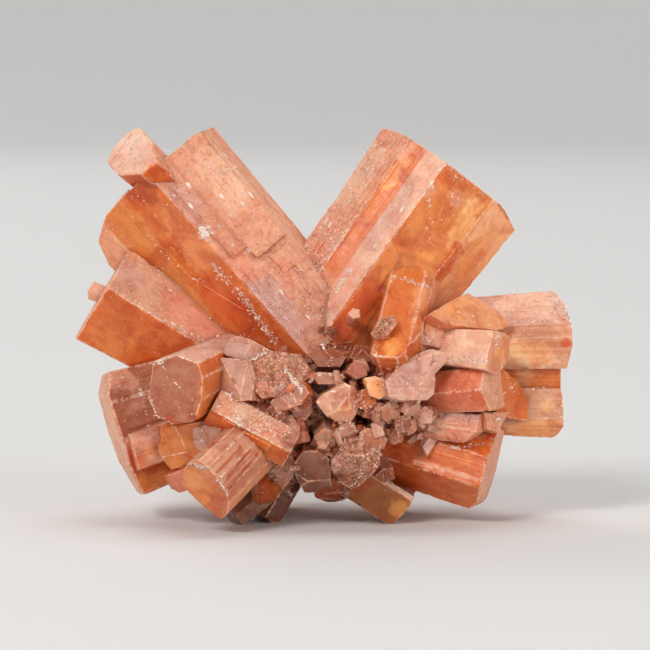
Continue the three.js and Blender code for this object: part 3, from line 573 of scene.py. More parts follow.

# %% [markdown]
# ## Clouds, films and powder
# Inside the clear faces hang clouds of iron-red and honey, and the frosted faces carry pink and
# lilac films. White powder lies where crystals bumped or rub against each other, and a few powder
# strokes are painted glints and a painted highlight instead. The shade strokes are painted shade,
# low in the heart where shadow falls, and the first cream stroke of the rails is a painted
# reflection of the light above on the upper rail's top. Each is a stroke on the sheet: a skin, its
# half width in mm, its strength, and a line of places or a single spot. A cloud shows only on clear
# faces and a film only on frosted ones, but the skins named first show on both. Powder needs no
# skin. Each table tells the strokes of one piece after another.

# %% Strokes on the front
# shade is painted shade; it goes on every face, as film does.
ON_ALL_FACES = {"film", "shade"}
STROKES = {
    "upper_left_tower": [
        ("rust", 2.3, 0.8, (-23.2, 43.1)), ("ember", 1.6, 0.5, (-24.8, 41.6)),
        ("amber", 2, 0.5, (-19.5, 41)), ("honey", 2.8, 0.4, (-18.6, 39), (-15.8, 34.8)),
        ("ember", 2.6, 0.8, (-14.2, 30.6), (-11.4, 27.6)), ("rust", 2.4, 0.6, (-9.4, 25.5)),
        ("amber", 1.5, 0.4, (-27, 40), (-22.8, 36.4)), ("amber", 2, 0.5, (-19, 31.4)),
        ("film", 1.7, 0.5, (-29, 38), (-27.6, 34)), ("cream", 2.4, 0.4, (-14.6, 46), (-11.6, 42)),
        ("lilac", 2.2, 0.5, (-20.6, 43.4), (-17, 40)),
        ("rose", 1.7, 0.7, (-11.6, 34), (-9, 31.4)),
        ("lilac", 2.9, 0.9, (-7.8, 29.4), (-5.2, 25)), ("rose", 1.3, 0.5, (-5.4, 33), (-4.4, 30)),
    ],
    "knob": [
        ("cream", 1.5, 0.4, (-26, 49.4)), ("glow", 1.2, 0.6, (-22.8, 46.9)),
        ("ember", 1.4, 0.8, (-25.6, 43.6)),
    ],
    "left_blade": [
        ("lilac", 2, 0.5, (-27.6, 33.4), (-25.4, 32)),
        ("rose", 2.4, 0.6, (-19.4, 28), (-14.4, 24.4)),
        ("rust", 1.6, 0.3, (-27.6, 28.6), (-26, 25)), ("amber", 2.4, 0.6, (-29, 25), (-26, 22)),
        ("ember", 1.8, 0.2, (-22, 24.6), (-17, 22.8)), ("rust", 1.2, 0.2, (-14.6, 21.8)),
    ],
    "lower_left_stub": [
        ("film", 1.6, 0.6, (-28.4, 18.8), (-25.6, 18.2)),
        ("film", 1, 0.5, (-25.6, 10.2), (-23, 10)), ("ember", 2, 0.7, (-24.8, 7), (-21, 5)),
        ("glow", 1.6, 0.6, (-21, 5.4), (-23.6, 4.6)), ("film", 1.2, 0.35, (-24.6, 14.6)),
        ("glow", 1, 0.4, (-22.8, 8.8)),
    ],
    "pentagon": [
        ("amber", 1, 0.6, (-15.6, 17.6), (-16, 14)), ("ember", 1.2, 0.4, (-20.6, 12.6)),
        ("glow", 1.1, 0.5, (-19.4, 7.4)),
    ],
    "barrel": [
        ("ember", 1.3, 0.35, (-16, 3.8), (-14.8, 2)), ("rose", 0.9, 0.3, (-13.6, 1.4)),
        ("glow", 1.6, 0.45, (-17.4, 5.4), (-16, 3.6)), ("film", 1, 0.35, (-14.8, 8.6)),
        ("rust", 0.18, 0.9, (-11, 9.6), (-14, 6.3)),
        ("rust", 0.18, 0.9, (-9.8, 9.1), (-12.8, 5.4)),
        ("rust", 0.2, 0.9, (-8.7, 8.8), (-11.9, 4.8)),
    ],
    "front_crystals": [
        ("cream", 1.2, 0.5, (-10.4, 14.6)), ("rose", 1.5, 0.6, (-7.4, 12.2), (-5, 10.6)),
        ("ember", 1.1, 0.7, (-12.2, 11.8), (-9, 9.8)), ("lilac", 1.6, 0.5, (-11, 22)),
        ("rose", 1.4, 0.5, (-8.2, 17)), ("lilac", 1.2, 0.5, (-5.6, 17)),
        ("straw", 1.3, 0.5, (0.8, 15.8)), ("amber", 1.1, 0.5, (2.8, 14.6)),
        ("glow", 0.9, 0.6, (6.6, 17.6)), ("lilac", 1.4, 0.4, (2.6, 7.6)),
        # The shade strokes on this line and the next are painted shade where the low heart lies in
        # shadow.
        ("shade", 1, 0.6, (1.9, 5.6)), ("rust", 1.1, 0.6, (-0.6, 3)),
        ("shade", 1.2, 0.5, (-2.8, 5.8)), ("shade", 1.4, 0.6, (-4.6, 10.4), (-2.6, 11)),
    ],
    "feet": [
        ("ember", 1.1, 0.5, (-8.4, 3)), ("lilac", 1.1, 0.5, (-6, 6)),
        # The shade stroke on this line is painted shade under the feet.
        ("shade", 1.4, 0.5, (-7.8, 0.8), (-4.6, 1.6)), ("glow", 1.4, 0.5, (9.6, 1.6)),
        ("rust", 1.4, 0.6, (5, 4.6)), ("cream", 0.5, 0.7, (7.8, 5.2), (11.6, 2.8)),
    ],
    "upper_right_tower": [
        ("cream", 1.8, 0.4, (2.6, 42.4), (6, 47.6)), ("rose", 2.2, 0.6, (-0.8, 34.6), (-2.2, 29)),
        ("glow", 1.2, 0.8, (9.6, 46.8), (8, 44)), ("ember", 1.6, 0.9, (1.4, 36.6), (0.4, 34.4)),
        ("film", 1.1, 0.7, (11, 49), (9.6, 47.8)), ("film", 1.5, 0.6, (-2.4, 30), (-3.6, 27)),
        ("lilac", 1.6, 0.45, (10.4, 43), (5.6, 36.6)), ("rose", 1.8, 0.6, (3, 32.6), (0.6, 29)),
        ("lilac", 1.8, 0.7, (-1, 25.6), (-2.4, 23)), ("ember", 1.1, 0.6, (15.4, 44.8)),
        ("film", 1.5, 0.55, (13.2, 43.4)), ("film", 1.3, 0.4, (17, 42)),
        ("amber", 1.8, 0.4, (11.6, 38.8)), ("rust", 1, 0.5, (10.4, 36.2), (12.4, 35.4)),
        ("glow", 1.6, 0.5, (13, 34)), ("gold", 1.3, 0.7, (19.2, 41), (16.8, 36)),
        ("glow", 1.2, 0.6, (21.6, 38.4), (17.6, 32.6)),
        ("ember", 0.9, 0.8, (17.2, 35.6), (15, 32)), ("honey", 1.6, 0.6, (21, 38), (22.8, 37.6)),
        ("rust", 0.5, 0.8, (23.8, 39.6), (22.8, 41.2)), ("ember", 2, 0.8, (6.2, 29.8), (1.4, 24)),
        ("glow", 1.2, 0.5, (8, 31.4)), ("ember", 1.2, 0.4, (9.4, 27.6)),
        ("glow", 1.5, 0.6, (9, 22.6)), ("honey", 1.3, 0.5, (12, 26), (12.6, 30)),
    ],
    "right_rails": [
        # The first cream stroke is a painted reflection of the light above on the upper rail's top.
        ("cream", 2.2, 0.45, (24, 28.4), (28, 28.6)), ("peach", 1.8, 0.5, (22, 27)),
        ("glow", 1.8, 0.5, (18, 28)), ("rose", 1.2, 0.3, (25.4, 24.6)),
        ("gold", 1.6, 0.6, (22, 22.4), (28.4, 21.6)), ("ember", 0.8, 1, (31.4, 23.2)),
        ("rose", 0.7, 0.6, (31.2, 26.2)), ("gold", 1.5, 0.5, (26, 18.8)),
        ("glow", 1.4, 0.5, (26, 12.2), (30, 12)), ("gold", 1.1, 0.5, (29, 15)),
    ],
    "right_blocks": [
        ("cream", 1.6, 0.5, (18.6, 23.4), (21.4, 23.6)), ("lilac", 1.6, 0.5, (13.6, 23)),
        ("lilac", 1.6, 0.5, (11, 19.4)), ("rust", 1.2, 0.5, (18, 18.8)),
        ("ember", 1.2, 0.5, (24.4, 16.4)), ("glow", 1.6, 0.6, (17, 28)),
        ("glow", 0.9, 0.6, (22.8, 21.8)), ("film", 1, 0.6, (20.8, 17.4)),
    ],
    "lower_right_log": [
        ("film", 1.3, 0.75, (13.4, 12.4), (19.8, 11.8)), ("rose", 1, 0.4, (18, 11)),
        ("glow", 1, 0.25, (18.2, 7.8)), ("rust", 1.6, 0.6, (9.4, 8.6), (11.6, 6.4)),
        ("ember", 1.6, 0.4, (15, 4.6)), ("film", 0.35, 0.9, (11.8, 7.7), (19.8, 5.3)),
        ("cream", 1.2, 0.5, (14, 12.4)),
    ],
}
print(sum(len(group) for group in STROKES.values()), "clouds and films")

# %% Powder and painted glints on the front
POWDER_AND_GLINTS = {
    "upper_left_tower": [
        (1.1, 1, (-15.6, 37.5)), (0.3, 0.35, (-22.6, 44.4), (-15.8, 36.4)),
        (0.6, 0.75, (-14.4, 33.4), (-12.6, 31.2)), (0.75, 0.7, (-11.4, 30), (-9.6, 27.6)),
        (0.5, 0.75, (-8.8, 26.6), (-6.5, 23.4)), (0.3, 0.7, (-17.4, 45.1)),
        (0.3, 0.8, (-15.9, 44.4)), (0.35, 0.8, (-14.6, 43.2)),
        (0.25, 0.7, (-13.6, 45.4), (-11.6, 46)), (0.3, 0.7, (-18, 42.6)), (0.3, 0.7, (-13, 41)),
        (0.3, 0.6, (-12, 36.2), (-11.6, 35.6)), (0.25, 0.6, (-9.8, 35.2)),
        (0.22, 0.4, (-23.4, 38), (-20.8, 34.6), (-17.4, 31.6), (-16, 31.4)),
    ],
    "knob": [
        (0.22, 0.7, (-25.6, 49.5), (-24.4, 46.4)), (0.2, 0.6, (-24.8, 49.8), (-23.8, 47.2)),
        (0.25, 0.5, (-27, 45.4)),
    ],
    "left_blade": [
        (0.22, 0.45, (-28.8, 31.2), (-22.8, 27.2), (-14.3, 22.8)),
        (0.25, 0.4, (-21.8, 30.4), (-22.8, 28.4)),
    ],
    "lower_left_stub": [
        (0.3, 0.5, (-28.8, 18.6), (-28.6, 15), (-27.6, 9.6), (-25.6, 4.6)),
        (0.2, 0.5, (-24.4, 18.6), (-22.8, 11.6)), (0.35, 0.7, (-22.6, 10.2)),
    ],
    "pentagon": [
        (0.16, 0.45, (-21.7, 20.8), (-19.1, 17.6), (-16.6, 15)),
        (0.35, 0.9, (-22.2, 20.6), (-20.4, 21.4)), (0.25, 0.7, (-19, 21.6), (-16.4, 20.8)),
        (0.2, 0.5, (-22.8, 16), (-22, 13.8), (-20, 12.6)),
    ],
    "barrel": [
        (0.3, 0.9, (-18, 7.6), (-15.4, 6.8)), (0.25, 0.6, (-14.2, 5.4), (-12.8, 3.4)),
        (0.3, 0.6, (-16.4, 9.4)),
    ],
    "front_crystals": [
        (0.8, 0.9, (-11.2, 13.2)), (1.6, 0.45, (-13, 15), (-6, 11.4)),
        (0.3, 0.9, (-5.2, 19.8), (-3, 16.8)), (0.3, 0.8, (-9.6, 21), (-8, 21.8)),
        (0.3, 0.6, (-6.6, 11.6)), (0.2, 0.5, (-13.2, 15.6), (-12, 16.6)),
        # The first stroke on this line is a painted glint on the lower prism.
        (0.2, 0.5, (3.6, 9.8), (4.6, 9.4)), (0.18, 0.5, (-1.6, 19), (2.4, 19)),
        # This stroke is a painted glint on the inner prism.
        (0.25, 0.6, (0.2, 16.4), (0.8, 15)),
    ],
    "feet": [
        (0.2, 0.7, (7.8, 5.3), (11.6, 2.9)),
    ],
    "upper_right_tower": [
        (0.55, 0.9, (13.8, 43.8)), (0.5, 0.8, (11, 41)), (1.6, 0.42, (6.4, 48), (-3, 35)),
        (1.3, 0.4, (2.4, 38), (-3.4, 29)), (0.35, 0.9, (6.6, 35.6)),
        (0.4, 0.9, (3.4, 32.8), (1.4, 30)), (0.28, 0.5, (0.8, 29), (-2, 22.4)),
        (0.3, 0.8, (9.2, 31.8), (13.6, 30.4)), (0.3, 0.7, (-0.4, 40.8), (1.8, 42.8)),
        (0.2, 0.6, (1.6, 39.8), (3.4, 38.8)), (0.5, 0.5, (13.4, 47), (17.6, 44.6)),
        (0.3, 0.5, (19.4, 43), (22.4, 41.6)), (0.5, 0.5, (12.8, 43), (13.6, 41)),
        (0.5, 0.4, (16.4, 42.4), (17.4, 41)), (0.4, 0.7, (8, 25.6)),
        (0.25, 0.6, (7, 23), (6.4, 21.4)),
    ],
    "right_rails": [
        # The second stroke on this line is a painted highlight along the rail's crease; the rest is
        # white wear.
        (0.5, 0.7, (29.6, 29.8), (31.2, 28), (31.9, 25.4)), (0.25, 0.5, (19, 25.8), (30, 26.1)),
        (0.4, 0.6, (30.9, 16), (30.8, 13)), (0.2, 0.4, (22, 17.4), (29, 17.2)),
    ],
    "right_blocks": [
        (0.4, 0.8, (16.2, 20.8), (18.6, 21), (20.8, 20.6)),
        (0.35, 0.7, (22.4, 24.2), (22.2, 22.4)), (0.25, 0.6, (14, 18.6)),
        (0.2, 0.5, (23.2, 20), (24.6, 16.4)),
    ],
    "lower_right_log": [
        (0.25, 0.6, (15.4, 9.2), (21, 10)), (0.3, 0.7, (22.2, 12)),
    ],
}
print(sum(len(group) for group in POWDER_AND_GLINTS.values()), "strokes of powder")

# %% [markdown]
# ## Growing one crystal
# A crystal is modelled in its own frame, with z along its axis. The outline becomes a face, the
# face is extruded, the crown is cut with planes, and the corners are bevelled as far as they are
# worn.

# %% A crystal's own frame and outline
FACING = 0.55  # past this share of depth in its axis, a crystal faces the viewer


def frame_of(crystal):
    """The matrix from the crystal's frame (front, across, along) to the part, and its length."""
    root, tip = from_sheet(crystal["root"]), from_sheet(crystal["tip"])
    axis = (tip - root).normalized()
    lead = Vector((0, 0, 1)) if abs(axis.y) > FACING else Vector((0, -1, 0))
    frontward = (lead - axis * lead.dot(axis)).normalized()
    across = axis.cross(frontward)
    place = Matrix((frontward, across, axis)).transposed().to_4x4()
    place.translation = root
    return place, (tip - root).length


def outline_of(crystal, place):
    """The outline at the tip as (front, across) points."""
    if "section" in crystal:
        return [(front, across) for across, front in crystal["section"]]
    if "corners" in crystal:
        steps, half = len(crystal["corners"]), crystal["half"]
        turns = [crystal["turn"] + math.tau * i / steps for i in range(steps)]
        return [(share * half * math.cos(angle), share * half * math.sin(angle))
                for share, angle in zip(crystal["corners"], turns)]
    tip, axis = from_sheet(crystal["tip"]), place.col[2].to_3d()
    frontward, across = place.col[0].to_3d(), place.col[1].to_3d()
    spots = [on_plane(*corner, tip, axis) - tip for corner in crystal["face"]]
    return [(spot.dot(frontward), spot.dot(across)) for spot in spots]


# %% Turn the faces outwards
def face_out(bm):
    """Turns all faces of a closed shape outwards. A negative volume means that they face in."""
    bmesh.ops.recalc_face_normals(bm, faces=bm.faces)
    if bm.calc_volume(signed=True) < 0:
        bmesh.ops.reverse_faces(bm, faces=bm.faces)


# %% Extrude the prism
def prism(crystal, place, length):
    """A closed prism whose faces know which side of the outline they are."""
    bm = bmesh.new()
    side = bm.faces.layers.int.new("side")
    waist = crystal["waist"]
    outline = outline_of(crystal, place)
    base = bm.faces.new([bm.verts.new((x * waist, y * waist, 0)) for x, y in outline])
    base_verts = list(base.verts)
    grown = bmesh.ops.extrude_face_region(bm, geom=[base])["geom"]
    for vert in grown:
        if isinstance(vert, bmesh.types.BMVert):
            vert.co = (vert.co.x / waist, vert.co.y / waist, length)
    for face in bm.faces:
        low = [base_verts.index(v) for v in face.verts if v in base_verts]
        if len(low) == len(outline):
            face[side] = ROOT
        elif not low:
            face[side] = TIP
        else:
            face[side] = min(low) if max(low) - min(low) == 1 else len(outline) - 1
    face_out(bm)
    return bm, side


# %% Cut the crown and wear the edges
CUT_REACH = 1e-5
SHARP = math.radians(9)
CUT_TILT, CUT_START = (9, 26), (0.1, 0.55)


def split(bm, geom, point, normal, **more):
    """Cuts the geometry along a plane."""
    return bmesh.ops.bisect_plane(bm, geom=geom, dist=CUT_REACH, plane_co=point, plane_no=normal,
                                  **more)


def whole_of(bm):
    """All corners, edges and faces."""
    return bm.verts[:] + bm.edges[:] + bm.faces[:]


def slice_off(bm, side, point, normal):
    """Cuts away what lies beyond a plane, and closes the cut as part of the end."""
    cut = split(bm, whole_of(bm), point, normal, clear_outer=True)
    edges = [e for e in cut["geom_cut"] if isinstance(e, bmesh.types.BMEdge) and e.is_boundary]
    if edges:
        for face in bmesh.ops.edgeloop_fill(bm, edges=edges)["faces"]:
            face[side] = TIP


def cut_crown(bm, side, crown, length):
    """Cuts away all that lies above each stretch of the crown's line."""
    line = sorted(crown)
    for (a0, z0), (a1, z1) in zip(line, line[1:]):
        slice_off(bm, side, (0, a0, length + z0), (0, z0 - z1, a1 - a0))
    face_out(bm)


def random_cuts(dice):
    """Two gentle slopes that no two small crystals share."""
    return [(dice.uniform(0, 360), dice.uniform(*CUT_TILT), dice.uniform(*CUT_START))
            for _ in range(2)]


def slope_end(bm, side, cuts, outline, length):
    """Slopes parts of the end. A cut is (turn, tilt, share of the half width where it starts)."""
    middle = Vector(np.mean(outline, axis=0))
    half = np.mean([(Vector(corner) - middle).length for corner in outline])
    for *angles, share in cuts:
        turn, tilt = map(math.radians, angles)
        out = Vector((math.cos(turn), math.sin(turn), 0))
        point = Vector((*middle, length)) + out * half * share
        slice_off(bm, side, point, out * math.sin(tilt) + Vector((0, 0, math.cos(tilt))))
    face_out(bm)


def rest_on_floor(bm, side, place):
    """Cuts off what would reach below the floor, as wear did to the corners that it rests on."""
    if min((place @ vert.co).z for vert in bm.verts) < 0:
        back = place.inverted()
        slice_off(bm, side, back.translation, back.to_3x3() @ Vector((0, 0, -1)))
        face_out(bm)


def wear_edges(bm, side, width):
    """Bevels each corner and rim, apart from the hidden root, and marks the new faces as worn."""
    sharp = [e for e in bm.edges if e.is_manifold and e.calc_face_angle() > SHARP
             and not any(f[side] == ROOT for f in e.link_faces)]
    worn = bmesh.ops.bevel(bm, geom=sharp, offset=width, offset_type="OFFSET", segments=2,
                           profile=0.5, affect="EDGES", clamp_overlap=True, material=-1)
    for face in worn["faces"]:
        face[side] = WORN


# %% [markdown]
# ## Ribs
# Aragonite prisms are bundles of thinner blades, so a side has ribs along the grain. A side is cut
# into strips of uneven width with planes, and each strip is inset and moved in or out by its own
# small depth. That leaves a fine groove between neighbours, as on the real faces.

# %% Cut the ribs
RIB_GROOVE = 0.05
RIB_UNEVEN = 0.38


def around(faces):
    """Faces with their edges and corners, as bisect_plane takes them."""
    edges = {e for f in faces for e in f.edges}
    verts = {v for f in faces for v in f.verts}
    return [*verts, *edges, *faces]


def cut_ribs(bm, side, number, count, depth, dice):
    """Splits a side into count strips along the grain and moves each in or out."""
    faces = [f for f in bm.faces if f[side] == number]
    if not faces:
        return
    normal = max(faces, key=lambda f: f.calc_area()).normal
    across = Vector((0, 0, 1)).cross(normal).normalized()
    spans = [v.co.dot(across) for f in faces for v in f.verts]
    low, high = min(spans), max(spans)
    for step in range(1, count):
        at = low + (high - low) * (step + dice.uniform(-RIB_UNEVEN, RIB_UNEVEN)) / count
        split(bm, around(faces), across * at, across)
        faces = [f for f in bm.faces if f[side] == number]
    for face in faces:
        spans = [v.co.dot(across) for v in face.verts]
        if max(spans) - min(spans) > 4 * RIB_GROOVE:
            bmesh.ops.inset_individual(bm, faces=[face], thickness=RIB_GROOVE,
                                       depth=-dice.random() * depth, use_even_offset=True)


# %% [markdown]
# ## Plates and ledges
# Growth stops now and then and starts again on a smaller area, which leaves thin sheets with
# square, stepped ends on the faces. A plate is drawn on the plane of its side, sunk a little, and
# raised by its height. Scattered ledges are plates whose outline is a strip with a step at each
# end.

# %% Build a plate
SUNK = 0.4
PLATE_RIM = 0.05
FLAT = 0.9
WALL_SKINS = {"frosted": "red", "pale": "salmon", "striped": "red", "orange": "amber",
              "amber": "honey", "honey": "amber"}


def side_plane(crystal, place, length, number):
    """A corner of a side at the tip and the side's outward normal, in the crystal's own frame."""
    outline = outline_of(crystal, place)
    (x0, y0), (x1, y1) = outline[number], outline[(number + 1) % len(outline)]
    waist = crystal["waist"]
    corner = Vector((x0, y0, length))
    normal = Vector((x1 - x0, y1 - y0, 0)).cross(Vector((x0 * waist, y0 * waist, 0)) - corner)
    normal.normalize()
    return corner, normal if normal.dot(Vector((x0, y0, 0))) > 0 else -normal


def plate(crystal, place, length, number, rise, line):
    """A thin sheet on a side, as a bmesh: side 0 is its face and side 1 its walls."""
    corner, normal = side_plane(crystal, place, length, number)
    bm = bmesh.new()
    side = bm.faces.layers.int.new("side")
    verts = []
    for across, below in line:
        y, z = across - corner.y, -below
        x = corner.x - (normal.y * y + normal.z * z) / normal.x
        verts.append(bm.verts.new(Vector((x, across, length - below)) - normal * SUNK))
    base = bm.faces.new(verts)
    grown = bmesh.ops.extrude_face_region(bm, geom=[base])["geom"]
    bmesh.ops.translate(bm, verts=[v for v in grown if isinstance(v, bmesh.types.BMVert)],
                        vec=normal * (SUNK + rise))
    face_out(bm)
    for face in bm.faces:
        lean = face.normal.dot(normal)
        face[side] = 0 if lean > FLAT else ROOT if lean < -FLAT else 1
    wear_edges(bm, side, PLATE_RIM)
    return bm, side


# %% Scatter ledges
LEDGE_WIDTH = (0.5, 1.7)
LEDGE_LENGTH = (1.4, 4.5)
LEDGE_STEP = (0.4, 1.1)
LEDGE_SPLIT = (0.3, 0.7)
LEDGE_RISE = (0.5, 1.2)
EDGE_MARGIN = 0.5


def scattered_ledges(crystal, place, length, number, count, start, end, rise, dice):
    """Random strips with stepped ends, as (side, rise, line)."""
    outline = outline_of(crystal, place)
    low, high = sorted((outline[number][1], outline[(number + 1) % len(outline)][1]))
    ledges = []
    for _ in range(count):
        below = dice.uniform(start, end)
        long, wide = dice.uniform(*LEDGE_LENGTH), dice.uniform(*LEDGE_WIDTH)
        narrow = 1 - (1 - crystal["waist"]) * (below + long) / length
        left = dice.uniform(low * narrow + EDGE_MARGIN, high * narrow - EDGE_MARGIN - wide)
        right, middle = left + wide, left + wide * dice.uniform(*LEDGE_SPLIT)
        upper, lower = dice.uniform(*LEDGE_STEP), dice.uniform(*LEDGE_STEP)
        ledges.append((number, rise * dice.uniform(*LEDGE_RISE), stairs(
            left, below, middle, below - upper, right, below + long, middle,
            below + long + lower)))
    return ledges


# %% [markdown]
# ## Fine mesh
# The relief needs edges of about a third of a millimetre, or half a millimetre on the far side.
# The ends are first cut into a coarse grid, then every edge that is still too long is halved,
# again and again.

# %% Refine a mesh
COARSE = 3.0
OFF_CENTRE = 0.13  # keeps the grid on the ends clear of the axis
ROUNDS = 8


def slice_mesh(bm, side, length):
    """Cuts the whole mesh every few millimetres along, and the ends across as well."""
    for step in range(1, int(length / COARSE) + 1):
        split(bm, whole_of(bm), (0, 0, step * COARSE), (0, 0, 1))
    for normal in (Vector((1, 0, 0)), Vector((0, 1, 0))):
        reach = max(abs(v.co.dot(normal)) for v in bm.verts)
        for step in range(-int(reach / COARSE), int(reach / COARSE) + 1):
            ends = [f for f in bm.faces if f[side] == TIP]
            split(bm, around(ends), normal * (step + OFF_CENTRE) * COARSE, normal)


def refine(bm, longest):
    """Halves the long edges until none is longer than longest."""
    for _ in range(ROUNDS):
        wide = [f for f in bm.faces if len(f.verts) > 4]
        if wide:
            bmesh.ops.triangulate(bm, faces=wide)
        long_edges = [e for e in bm.edges if e.calc_length() > longest]
        if not long_edges:
            break
        bmesh.ops.subdivide_edges(bm, edges=long_edges, cuts=1, use_grid_fill=True,
                                  use_single_edge=True)


# %% [markdown]
# ## Skin, grain and relief
# Each corner of the mesh gets the colour and frost of its side's skin, and a UV map called grain,
# whose second axis runs along the crystal, so that a pattern can follow the growth. Then every
# point moves a little: slow waves, lines along the grain, grit on rough skins, and chips off the
# edges.

# %% Paint and roughen one crystal
TINT, GRAIN, WEAR = "tint", "grain", "wear"
WAVE_SIZE, WAVE_DEPTH = 4.5, 0.07
LINE_SIZE, LINE_LENGTH, LINE_DEPTH = 0.55, 9, 0.03
GRIT_SIZE, GRIT_DEPTH = 0.7, 0.05
CHIP_SIZE, CHIP_START, CHIP_DEPTH = 1.0, 0.18, 0.7
WORN_ROUGHNESS = 0.6
ON_END = 0.7


def skin_of(crystal, number):
    """The skin of a side, of the tip or of the root."""
    if number == TIP:
        return SKINS[crystal.get("end", TIP_SKIN)]
    if number == ROOT:
        return SKINS[crystal.get("root_skin", SIDE_SKIN)]
    return SKINS[crystal["skins"][number]]


def neighbour_skin(face, side, crystal):
    """A worn edge takes the skin of the first real side that it touches."""
    for edge in face.edges:
        for other in edge.link_faces:
            if other[side] != WORN:
                return skin_of(crystal, other[side])
    return SKINS[TIP_SKIN]


def paint(bm, side, crystal, shift):
    """Writes tint (colour, frost), wear (edge, 0, 0, bands) and grain (across, along)."""
    tint = bm.loops.layers.float_color.new(TINT)
    wear = bm.loops.layers.float_color.new(WEAR)
    grain = bm.loops.layers.uv.new(GRAIN)
    for face in bm.faces:
        worn = face[side] == WORN
        skin = neighbour_skin(face, side, crystal) if worn else skin_of(crystal, face[side])
        colour, frost, _, bands = skin
        on_end = abs(face.normal.z) > ON_END
        across = Vector((1, 0, 0)) if on_end else Vector((0, 0, 1)).cross(face.normal).normalized()
        for corner in face.loops:
            corner[tint] = (*colour, frost)
            corner[wear] = (1.0 if worn else 0.0, 0, 0, bands)
            along = corner.vert.co.y if on_end else corner.vert.co.z
            corner[grain].uv = (corner.vert.co.dot(across) + shift, along)


def roughen(bm, side, crystal, place, shift):
    """Moves each point along its normal by waves, lines along the grain, grit and chips."""
    offset = Vector((shift, -shift, 0.5 * shift))
    moves = []
    for vert in bm.verts:
        sides = [f[side] for f in vert.link_faces]
        here = place @ vert.co
        rough = sum(WORN_ROUGHNESS if s == WORN else skin_of(crystal, s)[2] for s in sides)
        rough /= len(sides)
        move = noise.noise(here / WAVE_SIZE + offset) * WAVE_DEPTH
        line = Vector((vert.co.x / LINE_SIZE, vert.co.y / LINE_SIZE, vert.co.z / LINE_LENGTH))
        move += noise.noise(line + offset) * LINE_DEPTH * rough
        move += noise.noise(here / GRIT_SIZE) * GRIT_DEPTH * rough
        if WORN in sides:
            move -= max(0, noise.noise(here / CHIP_SIZE - offset) - CHIP_START) * CHIP_DEPTH
        moves.append(vert.normal * move)
    for vert, move in zip(bm.verts, moves):
        vert.co += move


# %% Grow a crystal with its plates
WORN_SHARE = 0.6  # of the rim that is written down
GRAIN_SHIFT = (-40, 40)


def finished(bm, side, crystal, place, length, fineness, shift):
    """Refines, paints and roughens a shape, and returns it as a mesh in the part's frame, in mm."""
    slice_mesh(bm, side, length)
    refine(bm, fineness)
    bm.normal_update()
    paint(bm, side, crystal, shift)
    roughen(bm, side, crystal, place, shift)
    bm.transform(place)
    for vert in bm.verts:
        vert.co.z = max(vert.co.z, 0)
    face_out(bm)
    return mesh_of("crystal", bm)


def grow(crystal, fineness, dice):
    """The finished meshes of one crystal and of the plates on its sides."""
    place, length = frame_of(crystal)
    bm, side = prism(crystal, place, length)
    if "crown" in crystal:
        cut_crown(bm, side, crystal["crown"], length)
    if "section" not in crystal:
        cuts = crystal.get("cuts", random_cuts(dice))
        slope_end(bm, side, cuts, outline_of(crystal, place), length)
    rest_on_floor(bm, side, place)
    wear_edges(bm, side, WORN_SHARE * crystal["rim"])
    for number, (count, depth) in crystal.get("ribs", {}).items():
        cut_ribs(bm, side, number, count, depth, dice)
    shift = dice.uniform(*GRAIN_SHIFT)
    meshes = [finished(bm, side, crystal, place, length, fineness, shift)]
    plates = list(crystal.get("plates", []))
    for number, ledges in crystal.get("ledges", {}).items():
        plates += scattered_ledges(crystal, place, length, number, *ledges, dice)
    for number, rise, line in plates:
        skin = crystal["skins"][number]
        skins = {"skins": [skin, WALL_SKINS.get(skin, skin)]}
        bm, side = plate(crystal, place, length, number, rise, line)
        meshes.append(finished(bm, side, skins, place, length, fineness, shift))
    return meshes


# %% [markdown]
# ## Joining crystals that grew together
# Where crystals overlap they are one body. A Boolean modifier with the Manifold solver joins a
# whole collection in one go, keeps the corner colours and the UV map, and leaves a closed mesh.

# %% Drop slivers
SLIVER = 300  # corners


def read(data, name, width):
    """An attribute of a mesh as rows of numbers."""
    values = np.empty(len(data) * width, np.float32)
    data.foreach_get(name, values)
    return values.reshape(-1, width)


def drop_slivers(mesh):
    """Removes the loose slivers that a union can leave, which have few corners."""
    first, last = read(mesh.edges, "vertices", 2).astype(int).T
    island = np.arange(len(mesh.vertices))
    spreading = True
    while spreading:
        lowest = island.copy()
        np.minimum.at(lowest, first, island[last])
        np.minimum.at(lowest, last, island[first])
        lowest = lowest[lowest]
        spreading = bool((lowest != island).any())
        island = lowest
    small = np.nonzero(np.bincount(island)[island] < SLIVER)[0]
    if len(small):
        bm = bmesh.new()
        bm.from_mesh(mesh)
        bm.verts.ensure_lookup_table()
        bmesh.ops.delete(bm, geom=[bm.verts[index] for index in small], context="VERTS")
        bm.to_mesh(mesh)
        bm.free()


# %% Join meshes
CREASED = math.radians(28)


def fuse(name, meshes):
    """One object whose mesh is the union of the meshes, with smooth faces and sharp edges."""
    piece = add_object(name, meshes[0])
    if len(meshes) > 1:
        others = bpy.data.collections.new(name + "_others")
        bpy.context.scene.collection.children.link(others)
        for mesh in meshes[1:]:
            others.objects.link(bpy.data.objects.new(name, mesh))
        union = piece.modifiers.new("union", "BOOLEAN")
        union.operation, union.solver = "UNION", "MANIFOLD"
        union.operand_type, union.collection = "COLLECTION", others
        depsgraph = bpy.context.evaluated_depsgraph_get()
        joined = bpy.data.meshes.new_from_object(piece.evaluated_get(depsgraph))
        for other in others.objects[:]:
            bpy.data.objects.remove(other)
        bpy.data.collections.remove(others)
        piece.modifiers.clear()
        piece.data = joined
        drop_slivers(joined)
    piece.name = piece.data.name = name
    piece.data.transform(Matrix.Scale(MM, 4))
    piece.data.shade_smooth()
    piece.data.set_sharp_from_angle(angle=CREASED)
    return piece


